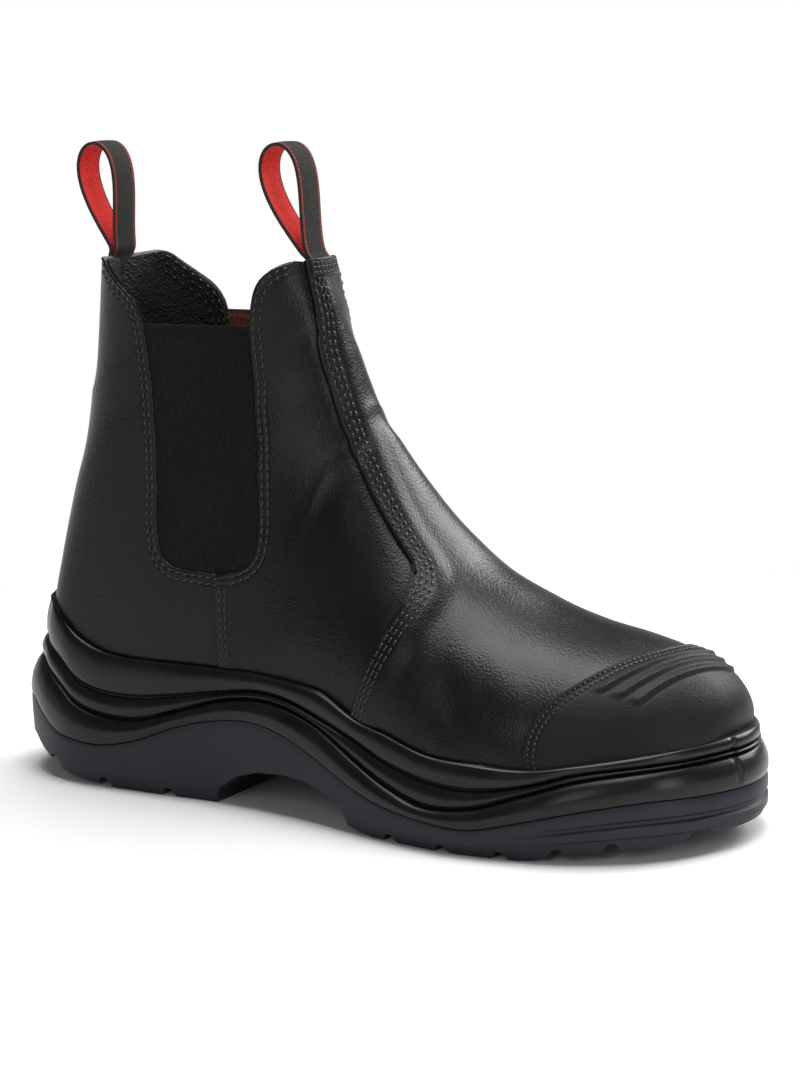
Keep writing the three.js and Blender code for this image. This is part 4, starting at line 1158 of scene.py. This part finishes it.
class BOOT_OT_midsole(PieceOperator, bpy.types.Operator):
    """Makes the moulded cup round the upper, with its bulges, grooves, lip and the block at the toe"""

    bl_idname = "boot.midsole"
    bl_label = "Midsole"

    def execute(self, context):
        count = 760
        places, out, length = sole_stations(count)
        levels, lean = levels_at(places[:, 0])
        split, low, high, rim = levels[:, 1], levels[:, 2], levels[:, 3], levels[:, 4]
        bounds = np.stack([split, low, high, rim], -1)
        fine = catmull(CUP_PROFILE, np.linspace(0, len(CUP_PROFILE) - 1, 3 * (len(CUP_PROFILE) - 1) + 1))
        keys = np.linspace(0, len(CUP_PROFILE) - 1, 3 * (len(CUP_PROFILE) - 1) + 1)
        place_in = CUP_PROFILE[:, 0] + CUP_PROFILE[:, 1]
        where = np.interp(keys, np.arange(len(CUP_PROFILE)), place_in)
        swell = fine[:, 2]
        rings = []
        toe = length[np.argmax(places[:, 0])]
        block = smooth_step((11.5 - np.abs(length - toe)) / 0.8)
        seam_cut = np.exp(-((np.abs(length - toe) - 11.9) / 0.7) ** 2)
        for w, s in zip(where, swell):
            i = min(int(w), 2)
            height = bounds[:, i] + (bounds[:, i + 1] - bounds[:, i]) * (w - i)
            share = np.clip((height - split) / (rim - split), 0, 1) ** 0.8
            raised = (0.5 * block - 0.45 * seam_cut) * smooth_step((w - 0.1) / 0.15)
            rings.append((height, s - lean * share + raised))
        skin_at_rim = leather_offsets(places, out, rim - 0.8)
        last_offset = rings[-1][1]
        rings.append((rim + 0.15, np.maximum(last_offset - 0.8, skin_at_rim + 1.4)))
        rings.append((rim - 0.1, np.maximum(last_offset - 1.7, skin_at_rim + 0.7)))
        rings.append((rim - 0.9, skin_at_rim + 0.1))
        rings.append((rim - 2.0, leather_offsets(places, out, rim - 2.0) - 0.9))
        bed = footbed_at(places[:, 0])
        for share in (0.33, 0.66, 1.0):
            z = (rim - 2.0) * (1 - share) + (bed - 0.3) * share
            rings.append((z, leather_offsets(places, out, np.maximum(z, bed + 1.0)) - 1.1))
        under = [(split + 0.3, np.full(len(split), -5.0))]
        points = np.zeros((len(rings) + 1, count + 1, 3))
        for r, (height, offset) in enumerate(under + rings):
            points[r, :, :2] = places + out * np.asarray(offset)[:, None]
            points[r, :, 2] = height
        points[:, -1] = points[:, 0]
        bm = grid_mesh(to_frame(points), wrap=True)
        close_loops(bm)
        bmesh.ops.recalc_face_normals(bm, faces=bm.faces[:])
        material = moulded_material("midsole_foam_skin", tuple(colours().midsole), 0.29)
        piece = as_object("midsole_cup", bm, [material])
        sharpen(piece, 60)
        settle(piece, "midsole", "midsole")
        return {"FINISHED"}


def prism(outline, low, high, axis):
    """A bmesh prism: an outline in two axes pushed along the third, in the source's millimetres."""
    bm = bmesh.new()
    verts = []
    for p in outline:
        co = {"y": (p[0], low, p[1]), "z": (p[0], p[1], low)}[axis]
        verts.append(bm.verts.new(Vector(to_frame(co))))
    face = bm.faces.new(verts)
    way = {"y": (0, high - low, 0), "z": (0, 0, high - low)}[axis]
    grown = bmesh.ops.extrude_face_region(bm, geom=[face])
    moved = [v for v in grown["geom"] if isinstance(v, bmesh.types.BMVert)]
    bmesh.ops.translate(bm, verts=moved, vec=Vector(way) * MM)
    bmesh.ops.recalc_face_normals(bm, faces=bm.faces[:])
    return bm


def cut(obj, cutters):
    """Cuts solids out of an object one by one, exactly."""
    made = []
    for bm in cutters:
        tool = as_object("cutter", bm, [], smooth=False)
        made.append(tool)
        knife = obj.modifiers.new("cut", "BOOLEAN")
        knife.operation = "DIFFERENCE"
        knife.solver = "EXACT"
        knife.object = tool
    apply_modifiers(obj)
    for tool in made:
        mesh = tool.data
        bpy.data.objects.remove(tool)
        bpy.data.meshes.remove(mesh)


class BOOT_OT_outsole(PieceOperator, bpy.types.Operator):
    """Makes the tread with its ribbed side, notched edge, recessed fields and main lugs"""

    bl_idname = "boot.outsole"
    bl_label = "Outsole"

    def execute(self, context):
        count = 300
        places, out, _ = sole_stations(count)
        levels, _ = levels_at(places[:, 0])
        plate, split = levels[:, 0], levels[:, 1]
        ribbed = smooth_step((places[:, 0] - 232) / 40)
        rows = [(0.0 * split, -3.2), (0.10 * split, -2.2), (0.28 * split, -1.3)]
        profile = [(0.42, -0.5, -0.9), (0.47, -0.4, 0.35), (0.60, -0.2, 0.45), (0.65, -0.15, -0.7),
                   (0.70, -0.1, -0.7), (0.75, 0.0, 0.4), (0.90, 0.0, 0.45), (0.96, -0.1, 0.0)]
        for share, plain, rib in profile:
            rows.append((share * split, plain * (1 - ribbed) + rib * ribbed))
        rows += [(split - 0.15, -0.3), (split - 0.3, -1.6), (plate, -5.0)]
        points = np.zeros((len(rows), count + 1, 3))
        for r, (height, offset) in enumerate(rows):
            points[r, :, :2] = places + out * (np.ones(count + 1) * offset)[:, None]
            points[r, :, 2] = height
        points[:, -1] = points[:, 0]
        bm = grid_mesh(to_frame(points), wrap=True)
        close_loops(bm)
        bmesh.ops.recalc_face_normals(bm, faces=bm.faces[:])
        material = moulded_material("outsole_rubber", tuple(colours().outsole), 0.48, 1.5, 0.00004)
        piece = as_object("outsole_tread", bm, [material])
        floor = [(x * SOLE_LENGTH, z * SOLE_LENGTH) for x, z in SOLE_FLOOR]
        cutters = [prism(floor + [(1.02 * SOLE_LENGTH, -52), (-0.02 * SOLE_LENGTH, -52)], -90, 90, "y")]
        for share in LUG_NOTCHES:
            x = share * SOLE_LENGTH
            z = tread_floor_at(x)
            cutters.append(prism([(x - 5.2, z - 3), (x + 5.2, z - 3), (x + 1.2, z + 3), (x - 1.2, z + 3)],
                                 -90, 90, "y"))
        for side in (-1, 1):
            for low, high in TREAD_FIELDS:
                lugs = [low] + [s for s in MAIN_LUGS if low < s < high] + [high]
                for i in range(len(lugs) - 1):
                    x0 = lugs[i] * SOLE_LENGTH + (4.5 if i else 0)
                    x1 = lugs[i + 1] * SOLE_LENGTH - (4.5 if i + 2 < len(lugs) else 0)
                    xs = np.linspace(x0, x1, 4)
                    inside = [(x, side * 1.5) for x in xs]
                    outer = []
                    for x in xs[::-1]:
                        row = places[(places[:, 1] * side > 0)]
                        near = np.interp(x, np.sort(row[:, 0]), np.abs(row[:, 1])[np.argsort(row[:, 0])])
                        outer.append((x, side * (near - 17)))
                    top = max(tread_floor_at(x0), tread_floor_at(x1)) + 3.0
                    cutters.append(prism(inside + outer, -5, top, "z"))
        cut(piece, cutters)
        sharpen(piece, 32)
        settle(piece, "outsole", "outsole")
        return {"FINISHED"}


class BOOT_OT_gores(PieceOperator, bpy.types.Operator):
    """Makes the two elastic gores with their ribs and turned top edge"""

    bl_idname = "boot.gores"
    bl_label = "Gores"

    def execute(self, context):
        for side, name in ((-1, "gore_outer_elastic"), (1, "gore_inner_elastic")):
            rows, columns = 150, 80
            level = np.linspace(0, 1, rows)[:, None]
            share = np.linspace(0, 1, columns)[None, :]
            rear = np.interp(level, (0, 0.5, 0.75, 1), (75.8, 75.4, 73.2, 70.4))
            front = np.interp(level, (0, 0.5, 0.75, 1), (126.2, 124.8, 122.6, 120.8))
            x = rear * (1 - share) + front * share
            z = 84.5 + (178.6 - 84.5) * level * np.ones((rows, columns))
            start_at = find([[100.0, 130.0]], side)[0]
            u, a = place_on(np.full(x.shape, start_at[0]), np.full(x.shape, start_at[1]), 100.0, 130.0)
            for part in np.linspace(0.1, 1, 10):
                u, a = place_on(u, a, 100.0 + (x - 100.0) * part, 130.0 + (z - 130.0) * part)
            height = 94.1
            top = smooth_step((level * height - height + 2.6) / 0.6)
            offset = -0.75 + 0.3 * top - 0.35 * np.sin(math.pi * share) * level
            base = skin(u, a)
            width = np.linalg.norm(np.diff(base, axis=1), axis=-1).cumsum(axis=1)
            width = np.concatenate([np.zeros((rows, 1)), width], axis=1)
            uv = np.stack([width * MM, np.broadcast_to(level * height * MM, width.shape)], -1)
            middle = (rows // 2, columns // 2)
            bm = grid_mesh(to_frame(on_skin(u, a, offset)), uv=uv, outward=outwards(u, a)[middle])
            materials = [elastic_material("gore_elastic", tuple(colours().gore)),
                         elastic_material("gore_elastic_inside", tuple(colours().gore_back))]
            piece = as_object(name, bm, materials)
            thicken(piece, 0.0011, 1, 0)
            sharpen(piece, 45)
            settle(piece, "gore", "gore_outer" if side < 0 else "gore_inner")
        return {"FINISHED"}


def loop_path(foot_x, foot_z, lean, turn):
    """Middle of a loop's webbing seen from the side, as in the part."""
    height, spread, webbing, fullness = 41.5, 17.0, 1.4, 0.69
    rise = (1 - np.cos(turn)) / 2
    swing = np.sin(turn) * np.abs(np.sin(turn / 2)) ** 1.6 / fullness
    across = (spread - webbing) / 2 * swing + webbing / 2 * np.cos(turn / 2)
    return np.stack([foot_x + across - lean * (1 - (1 - rise) ** 2), foot_z + height * rise], -1)


class BOOT_OT_pull_loops(PieceOperator, bpy.types.Operator):
    """Makes the two woven pull loops, dark outside and bright inside"""

    bl_idname = "boot.pull_loops"
    bl_label = "Pull loops"

    def execute(self, context):
        width = sizes().webbing / MM
        outside = webbing_material("loop_webbing_outside", tuple(colours().webbing), (0.020, 0.020, 0.019),
                                   tuple(colours().webbing_inside))
        inside = webbing_material("loop_webbing_inside", tuple(colours().webbing_inside),
                                  (0.016, 0.015, 0.015))
        for name, lean, node_name in (("pull_loop_back", 8.2, "loop_back"),
                                      ("pull_loop_front", 11.5, "loop_front")):
            top = height_at(2.04 if node_name == "loop_front" else 2.05)
            tail = 2.4 + 0.3 + 0.7
            angle = math.pi if node_name == "loop_back" else 0.0
            us = np.linspace(14, 24, 400)
            ridge = skin(us, np.full(400, angle))
            inward = 1 if angle else -1
            at = np.interp(top, ridge[:, 2], ridge[:, 0])
            turn = np.linspace(0.28, 2 * math.pi - 0.28, 150)
            path = loop_path(at + inward * tail, top + 0.3, lean, turn)
            # Both ends run down into the tab, between its leather and its lining
            ends = []
            for depth, low in ((0.9, 5.0), (1.9, 5.0)) if angle == 0.0 else ((2.2, 6.0), (0.9, 6.0)):
                tail_z = top - np.linspace(low, 0.5, 8)
                xs = np.interp(tail_z, ridge[:, 2], ridge[:, 0]) + inward * depth
                ends.append(np.stack([xs, tail_z], -1))
            line = np.concatenate([ends[0], path, ends[1][::-1]])
            step = np.linalg.norm(np.diff(line, axis=0), axis=1)
            keep = np.concatenate([[True], step > 0.15])
            line = line[keep]
            length = np.concatenate([[0], np.cumsum(np.linalg.norm(np.diff(line, axis=0), axis=1))])
            even = np.linspace(0, length[-1], 190)
            line = np.stack([np.interp(even, length, line[:, i]) for i in (0, 1)], -1)
            for _ in range(14):
                line[1:-1] = (line[:-2] + 2 * line[1:-1] + line[2:]) / 4
            length = np.concatenate([[0], np.cumsum(np.linalg.norm(np.diff(line, axis=0), axis=1))])
            tangent = np.gradient(line, axis=0)
            tangent /= np.linalg.norm(tangent, axis=1, keepdims=True)
            normal = np.stack([tangent[:, 1], -tangent[:, 0]], -1)
            across = np.linspace(-width / 2, width / 2, 21)
            bow = 0.25 * (1 - (across / (width / 2)) ** 2)
            points = np.zeros((len(line), len(across), 3))
            points[..., 0] = line[:, None, 0] + normal[:, None, 0] * (0.6 + bow)[None, :]
            points[..., 2] = line[:, None, 1] + normal[:, None, 1] * (0.6 + bow)[None, :]
            points[..., 1] = across[None, :]
            uv = np.stack(np.broadcast_arrays((across + width / 2)[None, :] * MM, length[:, None] * MM), -1)
            top_row = int(np.argmax(line[:, 1]))
            bm = grid_mesh(to_frame(points), uv=uv)
            probe = min(bm.faces, key=lambda f: (f.calc_center_median()
                                                 - Vector(to_frame(points[top_row, 10]))).length_squared)
            if probe.normal.z < 0:
                bmesh.ops.reverse_faces(bm, faces=bm.faces[:])
            piece = as_object(name, bm, [outside, inside])
            thicken(piece, 0.0012, 1, 0)
            sharpen(piece, 50)
            settle(piece, "loop_webbing", node_name)
        return {"FINISHED"}


def across_ridge(z, half, count):
    """A curve in (row, angle) across the front ridge at a height, to a distance on both sides."""
    rows = np.linspace(17, 24, 700)
    at = np.interp(np.mean(z), skin(rows, np.zeros(700))[:, 2], rows)
    spread = half / np.linalg.norm(skin(at, 0.1) - skin(at, 0.0)) * 0.1
    angles = np.linspace(-spread, spread, count)
    heights = np.broadcast_to(z, (count,))
    return np.array([[np.interp(height, skin(rows, np.full(700, angle))[:, 2], rows), angle]
                     for height, angle in zip(heights, angles)])


class BOOT_OT_loop_patch(PieceOperator, bpy.types.Operator):
    """Makes the small leather patch sewn over the front pull loop's foot"""

    bl_idname = "boot.loop_patch"
    bl_label = "Loop patch"

    def execute(self, context):
        rows, columns, half, tall = 34, 60, 8.6, 6.6
        top = height_at(2.034) + 0.4
        across = np.abs(np.linspace(-1, 1, columns))
        corner = 1.2 * np.clip((across - 0.84) / 0.16, 0, 1) ** 2
        level = np.linspace(0, 1, rows)
        grid = np.array([across_ridge(top - tall * (1 - t) + 0.125 * tall * (0.5 - t) * corner, half, columns)
                         for t in level])
        d = np.minimum(np.minimum(level, 1 - level)[:, None] * tall, (1 - across)[None, :] * half)
        lift = 1.9 + worn_edge(d, 0.8) + groove(d, 1.5, 0.6, 0.2)
        bm = grid_mesh(to_frame(on_skin(grid[..., 0], grid[..., 1], lift)), outward=(1, 0, 0.2))
        piece = as_object("loop_patch_front", bm, leather_materials())
        thicken(piece, 0.0015)
        sharpen(piece, 38)
        settle(piece, "upper_leather")
        return {"FINISHED"}


class BOOT_OT_insole(PieceOperator, bpy.types.Operator):
    """Makes the insole's soft top inside the boot"""

    bl_idname = "boot.insole"
    bl_label = "Insole"

    def execute(self, context):
        rows = np.linspace(1.9, 15.9, 150)
        columns = np.linspace(-1, 1, 60)
        reach = reach_at(rows)
        edge = {}
        for side in (-1, 1):
            edge[side] = on_skin(rows, side * reach, np.full(len(rows), -2.9))
        share = (columns + 1) / 2
        share = share[None, :, None]
        points = edge[-1][:, None, :] * (1 - share) + edge[1][:, None, :] * share
        crown = 1 - columns ** 2
        points[..., 2] = footbed_at(points[..., 0]) + 3.2 - 0.8 * crown[None, :]
        bm = grid_mesh(to_frame(points), outward=(0, 0, 1))
        material = plain_material("insole_textile", (0.016, 0.016, 0.017), 0.9, 1100.0, 0.0002, 0.2)
        piece = as_object("insole_cover", bm, [material])
        thicken(piece, 0.0028, 0, 0)
        sharpen(piece, 45)
        settle(piece, "insole", "insole")
        return {"FINISHED"}


def stitch_shape():
    """One stitch along X with length 1 and thickness 1: a short thread that dives in at both ends."""
    bm = bmesh.new()
    bmesh.ops.create_cone(bm, cap_ends=True, segments=8, radius1=0.5, radius2=0.5, depth=1.0)
    bmesh.ops.rotate(bm, verts=bm.verts[:], cent=(0, 0, 0),
                     matrix=Vector((1, 0, 0)).rotation_difference(Vector((0, 0, 1))).to_matrix().inverted())
    long_edges = [e for e in bm.edges if abs(e.verts[0].co.x - e.verts[1].co.x) > 0.9]
    bmesh.ops.subdivide_edges(bm, edges=long_edges, cuts=3)
    for v in bm.verts:
        t = abs(v.co.x) * 2
        squeeze = 1 - 0.45 * t ** 3
        v.co.y *= squeeze
        v.co.z = v.co.z * squeeze - 0.55 * t ** 3
    coords = [tuple(v.co) for v in bm.verts]
    bm.verts.index_update()
    faces = [[v.index for v in f.verts] for f in bm.faces]
    bm.free()
    return np.array(coords), faces


def sewn_rows(side):
    """Every stitch row of one side: curve on the skin, offset in millimetres, pitch factor (minus where
    it is seen from inside) and the shares of the curve where it starts and ends."""
    rows = []
    seam, _ = resample(front_seam(side), 260)
    for distance in FRONT_ROWS:
        rows.append((shifted(seam, side * distance), sizes().seam_raise / MM - 0.1, 1.0, (0.06, 0.985)))
    quarter, _ = resample(edge_curve(QUARTER_EDGE if side < 0 else QUARTER_EDGE_INNER, side)[4:], 220)
    for distance in GORE_ROWS:
        rows.append((shifted(quarter, side * distance), 0.0, 1.0, (0.0, 0.985)))
    back, _ = resample(edge_curve(BACK_EDGE, side)[4:], 240)
    for distance in GORE_ROWS:
        rows.append((shifted(back, -side * distance), 0.0, 1.0, (0.0, 0.97)))
    for distance in (1.8, 4.4, 7.2):
        rows.append((shifted(back, -side * distance), -2.5, -1.15, (0.42, 0.97)))
    low, _ = resample(edge_curve(QUARTER_EDGE, side)[:5], 60)
    for distance in SIDE_ROWS:
        rows.append((shifted(low, side * distance), 0.95, 1.0, (0.2, 0.95)))
    return rows


class BOOT_OT_stitches(PieceOperator, bpy.types.Operator):
    """Sews the rows of stitches along the seams, round the gores, up the tabs and along the toe cap"""

    bl_idname = "boot.stitches"
    bl_label = "Stitches"

    def execute(self, context):
        s = sizes()
        shape, faces = stitch_shape()
        material = plain_material("sewing_thread", tuple(colours().thread), 0.3, 2200.0, 0.00004)
        cap_table = CAP_EDGE.copy()
        cap_table[:, 0] = np.radians(cap_table[:, 0])
        angles = np.linspace(math.radians(-97), math.radians(108), 200)
        cap = np.stack([look_up(cap_table, angles)[:, 1], angles], -1)
        groups = {"stitches_outer": sewn_rows(-1), "stitches_inner": sewn_rows(1),
                  "stitches_toe_cap": [(shifted(cap, -d), up, 0.62, (0.05, 0.95))
                                       for d, up in zip(CAP_ROWS, (0.95, 1.4))],
                  "stitches_patch": [(across_ridge(height_at(2.034) - down, 7.6, 60), 1.75, 0.62, (0.0, 1.0))
                                     for down in (1.3, 3.1, 4.9)]}
        for name, rows in groups.items():
            verts = []
            polys = []
            for curve, offset, factor, (start, end) in rows:
                line = on_skin(curve[:, 0], curve[:, 1], np.full(len(curve), offset))
                normals = outwards(curve[:, 0], curve[:, 1]) * np.sign(factor)
                factor = abs(factor)
                length = np.concatenate([[0], np.cumsum(np.linalg.norm(np.diff(line, axis=0), axis=1))])
                pitch = s.stitch_pitch / MM * factor
                places = np.arange(start * length[-1], end * length[-1], pitch)
                for at in places:
                    p, q, n = (np.array([np.interp(x, length, data[:, i]) for i in range(3)])
                               for x, data in ((at - 0.5, line), (at + 0.5, line), (at, normals)))
                    middle = (p + q) / 2
                    along = (q - p) / np.linalg.norm(q - p)
                    n = n - along * (n @ along)
                    n /= np.linalg.norm(n)
                    across = np.cross(n, along)
                    x = shape[:, :1] * s.stitch_length / MM * factor
                    y = shape[:, 1:2] * s.thread / MM
                    z = shape[:, 2:3] * s.thread / MM + 0.1
                    placed = middle + x * along + y * across + z * n
                    base = len(verts)
                    verts.extend(to_frame(placed))
                    polys.extend([[base + i for i in f] for f in faces])
            mesh = bpy.data.meshes.new(name)
            mesh.from_pydata([tuple(v) for v in verts], [], polys)
            bm = bmesh.new()
            bm.from_mesh(mesh)
            bmesh.ops.recalc_face_normals(bm, faces=bm.faces[:])
            bpy.data.meshes.remove(mesh)
            settle(as_object(name, bm, [material]), "upper_leather")
        return {"FINISHED"}


class BOOT_OT_stage(PieceOperator, bpy.types.Operator):
    """Sets the pale floor, the soft studio lights and the camera"""

    bl_idname = "boot.stage"
    bl_label = "Stage"

    def execute(self, context):
        bm = bmesh.new()
        bmesh.ops.create_circle(bm, cap_ends=True, segments=96, radius=0.45)
        bmesh.ops.translate(bm, verts=bm.verts[:], vec=(0, 0, -0.0002))
        material, _, shader, _ = new_material("studio_floor")
        shader.inputs["Base Color"].default_value = (*colours().floor, 1)
        shader.inputs["Roughness"].default_value = 0.9
        shader.inputs["Specular IOR Level"].default_value = 0.1
        as_object("studio_floor", bm, [material], smooth=False)
        context.scene.view_settings.view_transform = "Standard"
        world = bpy.data.worlds.new("studio") if context.scene.world is None else context.scene.world
        context.scene.world = world
        world.use_nodes = True
        nodes = world.node_tree
        background = nodes.nodes["Background"]
        direction = nodes.nodes.new("ShaderNodeTexCoord").outputs["Generated"]
        split = nodes.nodes.new("ShaderNodeSeparateXYZ")
        nodes.links.new(direction, split.inputs["Vector"])
        background.inputs["Color"].default_value = (1, 1, 1, 1)
        nodes.links.new(ramp(nodes, split.outputs["Z"], 0.03, 0.12, 1.0, 0.10), background.inputs["Strength"])
        lights = [
            ("soft_top", (0.05, 0.15, 1.8), (0.02, 0.05, 0.0), (1.5, 1.2), 47),
            ("soft_front", (0.35, -1.5, 0.8), (0.03, 0, 0.1), (0.5, 0.7), 4),
            ("soft_right", (1.5, -0.5, 0.5), (0.1, 0, 0.05), (0.3, 0.9), 5),
            ("soft_back", (0.6, 1.4, 1.1), (0, 0, 0.12), (1.2, 0.8), 32),
        ]
        for name, place, aim, size, power in lights:
            data = bpy.data.lights.new(name, "AREA")
            data.shape = "RECTANGLE"
            data.size, data.size_y = size
            data.energy = power
            lamp = bpy.data.objects.new(name, data)
            lamp.location = place
            lamp.rotation_euler = (Vector(aim) - Vector(place)).to_track_quat("-Z", "Y").to_euler()
            context.scene.collection.objects.link(lamp)
        azimuth, elevation, distance, focal, roll = 31.0, 10.3, 1.0, 2704.976, -1.4
        aim = Vector((0.012714, 0.0012, 0.100559))
        a, e, r = (math.radians(v) for v in (azimuth, elevation, roll))
        back = Vector((math.sin(a) * math.cos(e), -math.cos(a) * math.cos(e), math.sin(e)))
        right = Vector((math.cos(a), math.sin(a), 0))
        up = back.cross(right)
        right, up = right * math.cos(r) + up * math.sin(r), up * math.cos(r) - right * math.sin(r)
        data = bpy.data.cameras.new("camera")
        data.sensor_fit = "VERTICAL"
        data.sensor_height = 36
        data.lens = focal * 36 / 1068
        data.clip_start = 0.05
        camera = bpy.data.objects.new("camera", data)
        matrix = np.eye(4)
        matrix[:3, 0], matrix[:3, 1], matrix[:3, 2] = right, up, back
        matrix[:3, 3] = aim + back * distance
        camera.matrix_world = Matrix(matrix.tolist())
        context.scene.collection.objects.link(camera)
        context.scene.camera = camera
        return {"FINISHED"}


class BOOT_PT_panel(bpy.types.Panel):
    """Lists the boot's pieces and settings"""

    bl_idname = "BOOT_PT_panel"
    bl_label = "Work boot"
    bl_space_type = "VIEW_3D"
    bl_region_type = "UI"
    bl_category = "Work boot"

    def draw(self, context):
        for group in (context.scene.boot_sizes, context.scene.boot_colours):
            for name in group.__annotations__:
                self.layout.prop(group, name)
        for operator in PIECES:
            self.layout.operator(operator.bl_idname)


PIECES = (
    BOOT_OT_outsole, BOOT_OT_midsole, BOOT_OT_insole, BOOT_OT_back_piece, BOOT_OT_quarters,
    BOOT_OT_front_piece, BOOT_OT_toe_cap, BOOT_OT_gores, BOOT_OT_pull_loops, BOOT_OT_loop_patch,
    BOOT_OT_stitches, BOOT_OT_stage,
)
CLASSES = (BootSizes, BootColours, *PIECES, BOOT_PT_panel)


def register():
    for cls in CLASSES:
        bpy.utils.register_class(cls)
    bpy.types.Scene.boot_sizes = bpy.props.PointerProperty(type=BootSizes)
    bpy.types.Scene.boot_colours = bpy.props.PointerProperty(type=BootColours)


def unregister():
    del bpy.types.Scene.boot_colours
    del bpy.types.Scene.boot_sizes
    for cls in reversed(CLASSES):
        bpy.utils.unregister_class(cls)


def main():
    register()
    for operator in PIECES:
        group, name = operator.bl_idname.split(".")
        getattr(getattr(bpy.ops, group), name)()


if __name__ == "__main__":
    main()
